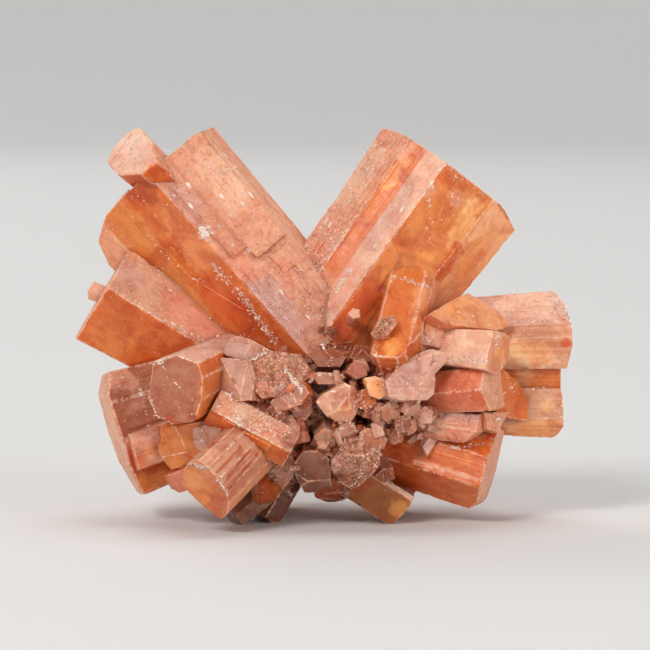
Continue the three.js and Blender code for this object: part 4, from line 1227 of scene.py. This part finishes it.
# %% [markdown]
# ## All the pieces
# The cluster is one body of mineral. Its crystals are kept here as fourteen pieces, each a closed
# mesh of crystals that belong together, so that each has a texture of its own when it is exported.

# %% Grow every piece
GROUPS = {
    "upper_left_tower": upper_left_tower, "knob": knob, "left_blade": left_blade,
    "lower_left_stub": lower_left_stub, "pentagon": pentagon, "barrel": barrel,
    "front_crystals": front_crystals, "heart_crowd": heart_crowd, "feet": feet,
    "upper_right_tower": upper_right_tower, "right_rails": right_rails,
    "right_blocks": right_blocks, "lower_right_log": lower_right_log, "far_crystals": far_crystals,
}
FINE = 0.3
LESS_FINE = {"upper_left_tower": 0.33, "upper_right_tower": 0.33, "far_crystals": 0.5}


def heart_ball(fineness):
    """The rough ball in the middle that all crystals grew from, hidden but for its gaps."""
    bm = bmesh.new()
    side = bm.faces.layers.int.new("side")
    bmesh.ops.create_icosphere(bm, subdivisions=3, radius=HEART_RADIUS)
    return finished(bm, side, {"skins": ["brown"]}, Matrix.Translation(HEART), 0, fineness, 0)


pieces = []
for seed, (name, crystals) in enumerate(GROUPS.items()):
    dice = random.Random(seed)
    fineness = LESS_FINE.get(name, FINE)
    meshes = [mesh for crystal in crystals for mesh in grow(crystal, fineness, dice)]
    if name == "heart_crowd":
        meshes.append(heart_ball(fineness))
    pieces.append(fuse(name, meshes))
    print(name, len(pieces[-1].data.polygons), "faces from", len(meshes), "shapes")

# %% [markdown]
# ## Brushing on clouds, films and powder
# With the crystals joined, each point of a piece is looked up on the sheet, and the strokes of its
# piece colour it. Two more things follow the whole cluster. Crystals are darker and redder towards
# the heart, partly as the stone's own zoning and partly as painted shade between the crystals; in
# the core pieces the stone low in the heart is darkened instead, as painted shade. The creases get
# painted shade in the shader and carry dust and grains. The creases are the hollow edges of the
# imported solid, so the distance to them is found with a search tree.

# %% Find the creases
CREASE_ANGLE = math.radians(20)
CREASE_STEP = 0.4
SAME_PLACE = 1e-6
solid = bmesh.new()
solid.from_mesh(frame["nodes"]["aragonite_cluster"].data)
bmesh.ops.remove_doubles(solid, verts=solid.verts, dist=SAME_PLACE)
crease_spots = []
for edge in solid.edges:
    if edge.is_manifold and edge.calc_face_angle_signed() < -CREASE_ANGLE:
        first, last = (vert.co / MM for vert in edge.verts)
        steps = 1 + int((last - first).length / CREASE_STEP)
        crease_spots += [first.lerp(last, step / steps) for step in range(steps + 1)]
solid.free()
creases = kdtree.KDTree(len(crease_spots))
for number, spot in enumerate(crease_spots):
    creases.insert(spot, number)
creases.balance()
print(len(crease_spots), "places along the creases")

# %% Look up places on the sheet
def sheet_places(spots):
    """Where the lines of sight through points of the part, in mm, cross the sheet."""
    local = spots - np.array(SHEET_ORIGIN)
    scale = 1 + local[:, 1] / SHEET_DISTANCE
    raised = local[:, 2] - SHEET_MIDDLE + local[:, 1] * math.tan(SHEET_PITCH)
    return np.stack([local[:, 0] / scale, SHEET_MIDDLE + raised / scale], axis=1)


def distance_to(places, line):
    """The distance on the sheet to a spot or to a line of spots."""
    nearest = np.full(len(places), np.inf)
    for start, end in zip(line, line[1:] or line):
        step = np.subtract(end, start)
        share = np.clip((places - start) @ step / max(step @ step, 1e-9), 0, 1)
        gap = places - start - np.outer(share, step)
        nearest = np.minimum(nearest, np.linalg.norm(gap, axis=1))
    return nearest


def ragged(places):
    """A wavy value from -1 to 1 that frays the outline of a stroke."""
    x, y = places.T
    waves = np.sin(2.1 * x + 1.3 * y), np.sin(3.7 * y - 1.9 * x + 1), np.sin(5.3 * x + 4.1 * y + 2)
    return (waves[0] + waves[1] + waves[2]) / 3


# %% Brush a piece
NEAR_HEART, FAR_FROM_HEART = 11.0, 25.0
HEART_DARKENING, HEART_FADE = 0.55, 1.5
CREASE_REACH = 1.1
CORE = {"front_crystals", "heart_crowd", "feet"}
CLEAR_DEPTH = np.array([0.50, 0.110, 0.036])
FROST_DEPTH = np.array([0.50, 0.21, 0.15])
FROSTED = 0.5
# Painted shade: the core pieces and small shapes low in the heart are darkened as if in shadow.
LOW_SHADE_LEFT, LOW_SHADE_START, LOW_SHADE_HEIGHT = 0.52, 3, 22
FRAYED, FULL_WITHIN = 0.35, 1.6
CRUMBLY, POWDER_EDGE = 0.45, 0.8


def painted_low_shade(height):
    """Painted shade: stone low in the heart, where little light reaches, is darkened. The share of
    its colour that is left.
    """
    return np.clip(LOW_SHADE_LEFT + (height - LOW_SHADE_START) / LOW_SHADE_HEIGHT, LOW_SHADE_LEFT, 1)


def mix_into(colour, goal, share):
    """Moves colours towards a goal by a share of the way."""
    colour += (goal - colour) * share


def heart_zoning_and_shade(away):
    """Share moved towards the deep colour by distance in mm: own zoning and painted shade between
    crystals.
    """
    share = np.clip((FAR_FROM_HEART - away) / (FAR_FROM_HEART - NEAR_HEART), 0, 1)
    return HEART_DARKENING * share ** HEART_FADE


def powder_and_glints_on(name, places, facing):
    """How much powder, or painted glint and highlight, lies on each point of a piece."""
    crumbly = 1 + CRUMBLY * ragged(1.7 * places) + CRUMBLY * ragged(3.9 * places + 2)
    powder = np.zeros(len(places))
    for size, strength, *line in POWDER_AND_GLINTS.get(name, []):
        away = POWDER_EDGE * (distance_to(places, line) / size)
        powder = np.maximum(powder, strength * facing * np.clip(crumbly - away ** 2, 0, 1))
    return powder


def brush(piece):
    """Colours a piece by its strokes, by the heart and by the creases."""
    mesh = piece.data
    spots = read(mesh.vertices, "co", 3) / MM
    normals = read(mesh.vertices, "normal", 3)
    facing = np.clip(-2 * normals @ np.array(view_direction), 0, 1)
    corner = read(mesh.loops, "vertex_index", 1)[:, 0].astype(int)
    tint, wear = (read(mesh.attributes[name].data, "color", 4) for name in (TINT, WEAR))
    colour, frosted = tint[:, :3], tint[:, 3] > FROSTED

    away = np.linalg.norm(spots - np.array(HEART), axis=1)
    if piece.name in CORE:
        # Painted shade: the core is darker the lower it lies.
        colour *= painted_low_shade(spots[:, 2])[corner][:, None]
    else:
        # Darker and redder towards the heart: partly the stone's own zoning, partly painted shade
        # between the crystals.
        depth = np.where(frosted[:, None], FROST_DEPTH, CLEAR_DEPTH)
        mix_into(colour, depth, heart_zoning_and_shade(away)[corner][:, None])

    places = sheet_places(spots)
    powder = powder_and_glints_on(piece.name, places, facing)
    frayed = 1 + FRAYED * ragged(places)
    for skin, size, strength, *line in STROKES.get(piece.name, []):
        share = np.clip(1 - (distance_to(places, line) / size / frayed) ** 2, 0, 1)
        share = (strength * facing * np.minimum(1, FULL_WITHIN * share))[corner]
        shade, frost = SKINS[skin][:2]
        if skin not in ON_ALL_FACES:
            share *= frosted == (frost > FROSTED)
        mix_into(colour, np.array(shade), share[:, None])
        if skin == "film":
            mix_into(tint[:, 3], frost, share)

    # The crease distance feeds the painted shade in the creases, and the dust and grains there.
    distance = np.array([creases.find(spot)[2] for spot in spots])
    crease = np.clip(1 - distance / CREASE_REACH, 0, 1)
    wear[:, 1], wear[:, 2] = crease[corner], powder[corner]
    for name, values in ((TINT, tint), (WEAR, wear)):
        mesh.attributes[name].data.foreach_set("color", values.astype(np.float32).ravel())
    return SimpleNamespace(spots=spots, normals=normals, places=places, crease=crease, away=away,
                           powder=powder)


brushed = [brush(piece) for piece in pieces]
print("brushed", len(brushed), "pieces")

# %% [markdown]
# ## Tiny crystals, grains and crumbs
# Near the heart the creases hold hundreds of tiny crystals and thousands of grains, and the powder
# is made of white crumbs. A tiny crystal is a short prism from the cone operator with a sloping
# end, and a grain or a crumb is a crooked cube. Each is sunk into the stone that carries it. None
# is set down close to the floor, because the cluster rests on the worn corners of its large
# crystals.

# %% Choose places
LOWEST = 2.0
CLUMP_MIDDLE, CLUMP_LEAST = 0.4, 0.03
CREASE_FULL, CREASE_LEAST = 9, 0.05
HEAP_REACH = 17
POWDER_LEAST = 0.35
HEAPS = [((12.8, 13), 2.8), ((7.4, 12.8), 2.0), ((0.4, 10), 1.8), ((-3.4, 12), 1.6),
         ((10, 16.4), 1.6), ((4.6, 20), 0.9)]


def choose_places(count, dice, weigh):
    """Seeded places (spot in mm, normal) on the brushed pieces. weigh gives a point its chance."""
    spots, normals, chances = [], [], []
    for at in brushed:
        clumps = np.clip(CLUMP_MIDDLE + ragged(2.3 * at.spots[:, [0, 2]]), CLUMP_LEAST, 1)
        chance = weigh(at) * clumps * (at.spots[:, 2] > LOWEST)
        kept = chance > 0
        spots.append(at.spots[kept])
        normals.append(at.normals[kept])
        chances.append(chance[kept])
    spots, normals = np.concatenate(spots), np.concatenate(normals)
    chosen = dice.choices(range(len(spots)), np.concatenate(chances).tolist(), k=count)
    return [(Vector(spots[index]), Vector(normals[index])) for index in chosen]


def in_creases(least, reach):
    """Chances for places in creases, falling off from the heart out to reach."""
    return lambda at: ((at.crease > least) * (at.away < reach) * np.clip(
        1 - (at.away - CREASE_FULL) / (reach - CREASE_FULL), CREASE_LEAST, 1))


def in_heaps(at):
    """Chances for places in the heaps at the front of the heart."""
    shares = [1 - distance_to(at.places, [middle]) / size for middle, size in HEAPS]
    in_front = (at.away < HEAP_REACH) * (at.spots[:, 1] < HEART.y)
    return np.clip(np.max(shares, axis=0), 0, 1) * in_front


def on_powder_and_glints(at):
    """Chances for places on the powder."""
    return (at.powder > POWDER_LEAST) * at.powder


# %% Scatter small shapes
# The crease value of a small shape darkens it a little as painted shade.
NEW_WEAR = (0.3, 0.3, 0.1)  # edge, crease and powder of a small shape


def shift_by(dice, reach):
    """A random step of up to reach along each axis."""
    return Vector([dice.uniform(-reach, reach) for _ in range(3)])


def scatter(name, places, dice, skins, shape, *sizes):
    """One object of many small shapes. Each is made apart, since an operator walks all it gets."""
    whole, scratch = bmesh.new(), bpy.data.meshes.new("scratch")
    for spot, normal in places:
        bm = bmesh.new()
        tint, wear = (bm.loops.layers.float_color.new(layer) for layer in (TINT, WEAR))
        verts = shape(bm, spot, normal, dice, *sizes)
        colour, frost, _, bands = SKINS[dice.choice(skins)]
        # Painted shade: a small shape low in the heart is darkened.
        left = painted_low_shade(verts[0].co.z)
        for face in bm.faces:
            for corner in face.loops:
                corner[tint] = (*(left * part for part in colour), frost)
                corner[wear] = (*NEW_WEAR, bands)
        bm.to_mesh(scratch)
        bm.free()
        whole.from_mesh(scratch)
    mesh = mesh_of(name, whole)
    mesh.transform(Matrix.Scale(MM, 4))
    return add_object(name, mesh)


# %% Tiny crystals and grains
def small_prism(bm, spot, normal, dice, sizes, slimness):
    """A short prism with a sloping end, sunk into the stone."""
    half = dice.choice(sizes) * dice.uniform(0.8, 1.2)
    tall = half * dice.uniform(1.8, slimness)
    axis = (normal + shift_by(dice, 0.8)).normalized()
    turn = Matrix.Rotation(dice.uniform(0, math.tau), 4, "Z")
    squash = Matrix.Diagonal((dice.uniform(0.5, 1.2), dice.uniform(0.7, 1.2), 1, 1))
    middle = Matrix.Translation(spot + axis * (tall * 0.5 - half))
    verts = bmesh.ops.create_cone(
        bm, cap_ends=True, segments=dice.choice((4, 5, 6, 6)), radius1=half,
        radius2=half * dice.uniform(0.6, 1), depth=tall,
        matrix=middle @ axis.to_track_quat("Z", "Y").to_matrix().to_4x4() @ turn @ squash)["verts"]
    slope = shift_by(dice, 0.6)
    for vert in verts:
        if (vert.co - spot).dot(axis) > tall * 0.5 - half:
            vert.co += axis * (vert.co - spot).dot(slope)
    for vert in verts:
        vert.co += shift_by(dice, 0.1 * half)
    return verts


def crooked_cube(bm, spot, normal, dice, smallest, largest):
    """A grain or a crumb, half sunk into the stone. Small ones are the most common."""
    size = smallest + (largest - smallest) * dice.random() ** 2
    axis = Vector([dice.gauss(0, 1) for _ in range(3)]).normalized()
    matrix = (Matrix.Translation(spot + normal * size * dice.uniform(-0.2, 0.25))
              @ Matrix.Rotation(dice.uniform(0, math.tau), 4, axis)
              @ Matrix.Diagonal((1, dice.uniform(0.5, 1), dice.uniform(0.4, 0.9), 1)))
    verts = bmesh.ops.create_cube(bm, size=size, matrix=matrix)["verts"]
    for vert in verts:
        vert.co += shift_by(dice, 0.15 * size)
    return verts


# %% Set them down
SCATTERED = [
    ("tiny_crystals", 900, in_creases(0.3, 17), small_prism,
     (0.18, 0.25, 0.25, 0.35, 0.45, 0.6), 4.0, "brown wet umber mauve dusk tan grey red orange"),
    ("blocks", 260, in_heaps, small_prism, (0.35, 0.45, 0.6, 0.75, 0.9), 2.8,
     "brown wet umber mauve tan grey blush"),
    ("grains", 9000, in_creases(0.2, 19), crooked_cube, 0.12, 0.42,
     "brown tan rose mauve peach cream umber"),
    ("crumbs", 3000, on_powder_and_glints, crooked_cube, 0.06, 0.30, "chalk chalk cream"),
]
dice = random.Random(6)
for name, count, weigh, shape, *sizes, skins in SCATTERED:
    places = choose_places(count, dice, weigh)
    made = scatter(name, places, dice, skins.split(), shape, *sizes)
    pieces.append(made)
    print(name, len(made.data.polygons), "faces")

# %% [markdown]
# ## Shader expressions
# A material is easier to read as arithmetic. Wire wraps a socket, and its operators add Math or
# Vector Math nodes, so that 1 - mask * 0.5 is written as it is meant.

# %% A socket with operators
class Wire:
    """A socket of a node tree that can be added, multiplied and fed to other nodes."""

    def __init__(self, tree, socket):
        self.tree, self.socket = tree, socket

    def node(self, kind, settings=None, inputs=None, output=0):
        """Any node: its settings are set first, then its inputs are given or linked."""
        made = self.tree.nodes.new(kind)
        for name, value in (settings or {}).items():
            setattr(made, name, value)
        for name, value in (inputs or {}).items():
            if isinstance(value, Wire):
                self.tree.links.new(value.socket, made.inputs[name])
            else:
                made.inputs[name].default_value = value
        return Wire(self.tree, made.outputs[output])

    def out(self, name):
        """Another output of the same node."""
        return Wire(self.tree, self.socket.node.outputs[name])

    def math(self, operation, *values):
        """Math on numbers, or Vector Math as soon as one value is a colour or a vector."""
        kind = "ShaderNodeMath"
        if any(v.socket.type != "VALUE" if isinstance(v, Wire) else isinstance(v, tuple)
               for v in values):
            kind = "ShaderNodeVectorMath"
            values = [v if isinstance(v, (Wire, tuple)) else (v, v, v) for v in values]
        return self.node(kind, {"operation": operation}, dict(enumerate(values)))

    def does(self, operation, *values):
        """Math or Vector Math that takes this wire first."""
        return self.math(operation, self, *values)

    def reach(self, axis):
        """How far this vector reaches along an axis, as a number."""
        return self.does("DOT_PRODUCT", axis).out("Value")

    def __add__(self, other):
        return self.math("ADD", self, other)

    def __radd__(self, other):
        return self.math("ADD", other, self)

    def __sub__(self, other):
        return self.math("SUBTRACT", self, other)

    def __rsub__(self, other):
        return self.math("SUBTRACT", other, self)

    def __mul__(self, other):
        return self.math("MULTIPLY", self, other)

    def __rmul__(self, other):
        return self.math("MULTIPLY", other, self)

    def step(self, low, high):
        """0 below low, 1 above high, and smooth between them."""
        return self.node("ShaderNodeMapRange", {"interpolation_type": "SMOOTHSTEP"},
                         {"Value": self, "From Min": low, "From Max": high})

    def mix(self, first, second):
        """The first colour where this wire is 0, the second where it is 1."""
        return self.node("ShaderNodeMix", {"data_type": "RGBA"},
                         {0: self, 6: first, 7: second}, output=2)

    def noise(self, scale, detail=2.0, roughness=0.5, distortion=0.0):
        """Noise, 0 to 1, read at this vector."""
        return self.node("ShaderNodeTexNoise", {}, {
            "Vector": self, "Scale": scale, "Detail": detail, "Roughness": roughness,
            "Distortion": distortion})

    def lines(self, length, scale, *more):
        """Noise drawn out along the second axis, in which this vector counts length."""
        return (self * (1.0, length, 1.0)).noise(scale, *more)

    def cells(self, scale):
        """Distance to the nearest of scattered points, in cells. Its Color is random for each."""
        return self.node("ShaderNodeTexVoronoi", {"feature": "F1"},
                         {"Vector": self, "Scale": scale})

    def lot(self, axis):
        """The random number of a cell along one axis of its Color."""
        return self.out("Color").reach(axis)


print("Wire is ready")

# %% [markdown]
# ## The mineral
# One material serves every crystal. The mesh brings what is drawn: tint and frost, worn edges,
# creases, powder and bands. Noise adds what the mesh is too coarse for. Clear stone has warm
# clouds and thin veils inside. Frosted faces are mottled, with short square cracks where growth
# steps end, darkened partly as painted shadow along the steps. The creases are darkened as painted
# shade. Specks of dust lie on everything, with white specks on frosted faces that are partly
# painted glints, glittering facets are painted lighter and darker as painted sparkle, and powder
# breaks up into crumbs. The light scatters a millimetre or two below the surface, redder the
# further it goes, which is what makes the edges glow. Grains are thinner than that, so they have
# the same look without it.

# %% Patterns of the mineral
MILKY = (0.94, 0.60, 0.44, 1)
WHITE = (0.95, 0.82, 0.73, 1)
RED, GREEN, BLUE = (1, 0, 0), (0, 1, 0), (0, 0, 1)


def inside_of_stone(tint, frost, bands, millimetres, grain):
    """Clear stone: warm clouds, bands along the grain and thin pale veils."""
    clear = 1 - frost
    clouds = millimetres.noise(0.24, 3, 0.55, 0.8)
    mottle = millimetres.noise(2.4, 4, 0.65)
    colour = clouds.step(0.36, 0.60).mix(tint * (0.80, 0.54, 0.42), tint * (1.05, 1.12, 1.10))
    colour = (1 - frost * 0.85).mix(tint, colour)
    streaks = grain.lines(0.4, 0.55, 4, 0.6, 0.6)
    threads = grain.lines(0.06, 1.5, 4, 0.62, 0.2)
    pale = streaks.step(0.50, 0.72) * clear * 0.45 + threads.step(0.50, 0.66) * bands * 0.45
    colour = pale.mix(colour, tint * (1.15, 1.7, 2.3))
    dark = streaks.step(0.46, 0.32) * clear * 0.45 + threads.step(0.46, 0.34) * bands * 0.4
    colour = dark.mix(colour, tint * (0.82, 0.50, 0.38))
    wisps = 1 - (millimetres.noise(0.5, 3, 0.5, 1.2) - 0.5).does("ABSOLUTE") * 45
    wisps = wisps.step(0.0, 1.0) * clear * mottle.step(0.42, 0.6)
    return (wisps * 0.45).mix(colour, tint * (1.15, 1.9, 3.0)), mottle, threads


def square_cracks(grain, frost, millimetres):
    """Short cracks along and across the grain, and the shade of each small plate."""
    wavering = grain + millimetres.noise(1.2).out("Color") * 0.22
    turned = grain.node("ShaderNodeMapping", {},
                        {"Vector": wavering, "Rotation": (0, 0, math.pi / 2)})
    bricks = turned.node(
        "ShaderNodeTexBrick", {"offset": 0.37, "squash": 1.7, "squash_frequency": 3}, {
            "Vector": turned, "Color1": (0, 0, 0, 1), "Color2": (1, 1, 1, 1),
            "Mortar": (0.5, 0.5, 0.5, 1), "Scale": 1.0, "Mortar Size": 0.045,
            "Mortar Smooth": 0.3, "Brick Width": 3.4, "Row Height": 0.8})
    present = millimetres.noise(0.6, 3, 0.6).step(0.53, 0.60) * frost.step(0.5, 0.7)
    return bricks.out("Fac") * present, bricks.reach(RED) * present


def growth_lines(grain, millimetres):
    """Long thin lines along the grain, in patches."""
    lines = 1 - (grain.lines(0.05, 1.3, 3, 0.5) - 0.5).does("ABSOLUTE") * 28
    return lines.step(0.1, 1.0) * millimetres.noise(0.4).step(0.52, 0.62)


def dust_of(millimetres, grain, frost, mottle, fine, edge, crease, powder):
    """Specks in drifts, larger flecks, white grit and painted glints on frosted faces, and powder.
    """
    drifts = millimetres.noise(0.4, 2).step(0.40, 0.68)
    small, grit = millimetres.cells(2.6), millimetres.cells(5.0)
    large = (grain * (1.0, 0.4, 1.0)).cells(1.1)
    size = small.lot(RED).step(0.4, 1.0) * (0.04 + frost * 0.08 + drifts * 0.26)
    specks = (size + (fine - 0.5) * 0.35 - small).step(0.0, 0.08)
    size = large.lot(GREEN).step(0.70, 1.0) * (0.09 + frost * 0.23)
    flecks = (size + (fine - 0.5) * 0.6 - large).step(0.0, 0.05)
    # Painted glints: white specks on frosted faces, partly grit and partly standing in for sparkle.
    grit_and_glints = grit.lot(BLUE).step(0.66, 0.84) * (1 - grit.step(0.25, 0.55))
    grit_and_glints = grit_and_glints * frost.step(0.55, 0.9) * (0.1 + drifts * 0.9)
    crumbs = powder * 0.75 + edge * 0.38 + crease * 0.2 + (fine - 0.5) * 1.5 + (mottle - 0.5) * 1.3
    dust = (specks * 0.7 + grit_and_glints * 0.8).does("MAXIMUM", flecks * 0.85)
    return dust.does("MAXIMUM", crumbs.step(0.5, 0.7) * 0.9)


# %% Aragonite
def aragonite(name, scattering):
    """The mineral. Scattering is how much of the light travels below the surface."""
    material = bpy.data.materials.new(name)
    material.use_nodes = True
    tree = material.node_tree
    shader = tree.nodes["Principled BSDF"]
    start = Wire(tree, None)
    tint = start.node("ShaderNodeAttribute", {"attribute_name": TINT})
    frost = tint.out("Alpha")
    wear = start.node("ShaderNodeAttribute", {"attribute_name": WEAR})
    edge = wear.node("ShaderNodeSeparateColor", {}, {"Color": wear})
    crease, powder, bands = edge.out("Green"), edge.out("Blue"), wear.out("Alpha")
    millimetres = start.node("ShaderNodeTexCoord", output=3) * (1 / MM, 1 / MM, 1 / MM)
    grain = start.node("ShaderNodeUVMap", {"uv_map": GRAIN})

    colour, mottle, threads = inside_of_stone(tint, frost, bands, millimetres, grain)
    fine = millimetres.noise(8.0, 3, 0.7)
    veils = millimetres.noise(0.55, 3, 0.6, 1.0)
    film = veils.step(0.42, 0.64) * frost
    rim = edge * (veils + mottle).step(0.88, 1.08)
    colour = (film * 0.24 + rim * 0.4).mix(colour, MILKY)
    pits = (veils + mottle * 0.6 + fine * 0.4).step(0.96, 0.82) * frost
    colour = (pits * 0.6).mix(colour, tint * (0.80, 0.58, 0.50))
    cracks, plates = square_cracks(grain, frost, millimetres)
    cracks = cracks.does("MAXIMUM", growth_lines(grain, millimetres) * (0.15 + frost * 0.35))
    # The square cracks and growth lines are darkened, partly as real fine cracks and partly as
    # painted shadow along the little growth steps.
    colour = (cracks * 0.85).mix(colour, tint * (0.60, 0.28, 0.19))
    # Painted shade: the creases are darkened as if in shadow, more in mottled patches.
    crease_shade = (crease + (mottle - 0.5) * 0.8).step(0.3, 1.0)
    colour = (crease_shade * 0.5).mix(colour, tint * (0.68, 0.40, 0.30))
    patches = millimetres.noise(0.5, 2).step(0.42, 0.62)
    grainy = 0.12 + frost * (0.2 + patches * 0.9)
    colour = colour * (1 + (fine + mottle - 1) * grainy)
    glitter = frost.step(0.88, 0.93)
    # Painted sparkle: on glittering skins each small facet is made lighter or darker, as if it
    # caught the light or not.
    facets = millimetres.cells(4.0)
    colour = colour * (1 + (facets.lot(GREEN) - 0.5) * glitter * 0.9)
    dust = dust_of(millimetres, grain, frost, mottle, fine, edge, crease, powder)
    colour = dust.mix(colour, WHITE)

    shine = facets.lot(RED).step(0.6, 0.8) * glitter
    glassy = frost.step(0.11, 0.07)
    gloss = 0.22 + frost * 0.34 + dust * 0.3 + mottle * 0.1 - shine * 0.3 - glassy * 0.1
    coat = ((1 - frost) * 0.06 + glassy * 0.5) * (1 - dust)
    height = (mottle * 0.5 + fine * 0.25) * (0.2 + frost * 0.7) + plates * 0.4 - cracks * 0.6
    height = height + dust * 0.5 + facets.lot(BLUE) * glitter + threads * (0.05 + bands * 0.3)
    bump = start.node("ShaderNodeBump", {}, {"Height": height, "Strength": 0.7, "Distance": 0.0002})
    for name, wire in {"Base Color": colour, "Roughness": gloss, "Coat Weight": coat,
                       "Normal": bump}.items():
        tree.links.new(wire.socket, shader.inputs[name])
    for name, value in {
            "IOR": 1.6, "Specular IOR Level": 0.25, "Coat Roughness": 0.12,
            "Subsurface Weight": scattering, "Subsurface Radius": (1.0, 0.36, 0.14),
            "Subsurface Scale": 0.002}.items():
        shader.inputs[name].default_value = value
    return material


stone, grit = aragonite("aragonite_stone", 0.5), aragonite("aragonite_grit", 0.0)
for piece in pieces:
    piece.data.materials.clear()
    piece.data.materials.append(stone if piece.name in GROUPS else grit)
print("aragonite on", len(pieces), "pieces")

# %% [markdown]
# ## Floor and light
# A round pale floor stands in for a studio table. A large soft light comes from the upper left in
# front, a weaker one fills the right, one above puts a sheen on the top faces, and one lights the
# far side.

# %% Build the floor
STAGE_RINGS, STAGE_BEND, STAGE_WALL = (0, 0.4, 1.6), 0.8, 1.8
BEND_STEPS, SPIN_STEPS = 12, 72
STAGE_GREY, STAGE_ROUGHNESS = (0.78, 0.78, 0.78, 1), 0.7


def round_stage():
    """A round floor that curves up into a wall, far outside every view."""
    bm = bmesh.new()
    line, flat = [(ring, 0) for ring in STAGE_RINGS], STAGE_RINGS[-1]
    for step in range(1, BEND_STEPS + 1):
        angle = math.pi / 2 * step / BEND_STEPS
        line.append((flat + STAGE_BEND * math.sin(angle),
                     STAGE_BEND - STAGE_BEND * math.cos(angle)))
    line.append((flat + STAGE_BEND, STAGE_WALL))
    verts = [bm.verts.new((across, 0, up)) for across, up in line]
    edges = [bm.edges.new(pair) for pair in zip(verts, verts[1:])]
    bmesh.ops.spin(bm, geom=verts + edges, cent=(0, 0, 0), axis=(0, 0, 1), angle=2 * math.pi,
                   steps=SPIN_STEPS, use_merge=True)
    bmesh.ops.remove_doubles(bm, verts=bm.verts[:], dist=1e-5)
    bmesh.ops.recalc_face_normals(bm, faces=bm.faces)
    mesh = mesh_of("floor", bm)
    mesh.shade_smooth()
    paint = bpy.data.materials.new("floor")
    paint.use_nodes = True
    shader = paint.node_tree.nodes["Principled BSDF"]
    shader.inputs["Base Color"].default_value = STAGE_GREY
    shader.inputs["Roughness"].default_value = STAGE_ROUGHNESS
    mesh.materials.append(paint)
    return add_object("floor", mesh)


floor = round_stage()

# %% Hang the lights
CLUSTER_MIDDLE = Vector((0, 0, 0.025))
WORLD_STRENGTH = 0.135


def area_light(name, place, size, power, colour):
    """A square light that looks at the middle of the cluster."""
    data = bpy.data.lights.new(name, "AREA")
    data.shape, data.size, data.energy, data.color = "SQUARE", size, power, colour
    light = add_object(name, data)
    light.location = place
    light.rotation_euler = (CLUSTER_MIDDLE - Vector(place)).to_track_quat("-Z", "Y").to_euler()


area_light("key", (-0.72, -1.38, 1.09), 0.54, 18.1, (1.0, 0.98, 0.95))
area_light("fill", (1.26, -1.20, 0.43), 0.84, 9.8, (1.0, 0.97, 0.94))
area_light("top", (0.25, 0.50, 2.40), 1.50, 18.9, (1.0, 0.98, 0.96))
area_light("back", (-0.72, 1.20, 0.97), 0.90, 6.0, (1.0, 0.98, 0.96))
world = bpy.data.worlds.new("studio")
bpy.context.scene.world = world
world.use_nodes = True
background = world.node_tree.nodes["Background"]
background.inputs["Color"].default_value = (1, 1, 1, 1)
background.inputs["Strength"].default_value = WORLD_STRENGTH
bpy.context.scene.view_settings.view_transform = "Standard"
print("the studio is lit")

# %% [markdown]
# ## Hand over
# Every piece rides on the one body, takes the mineral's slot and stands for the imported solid.

# %% Tie the pieces to the part
for piece in pieces:
    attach(piece, "root")
    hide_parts("aragonite_cluster")
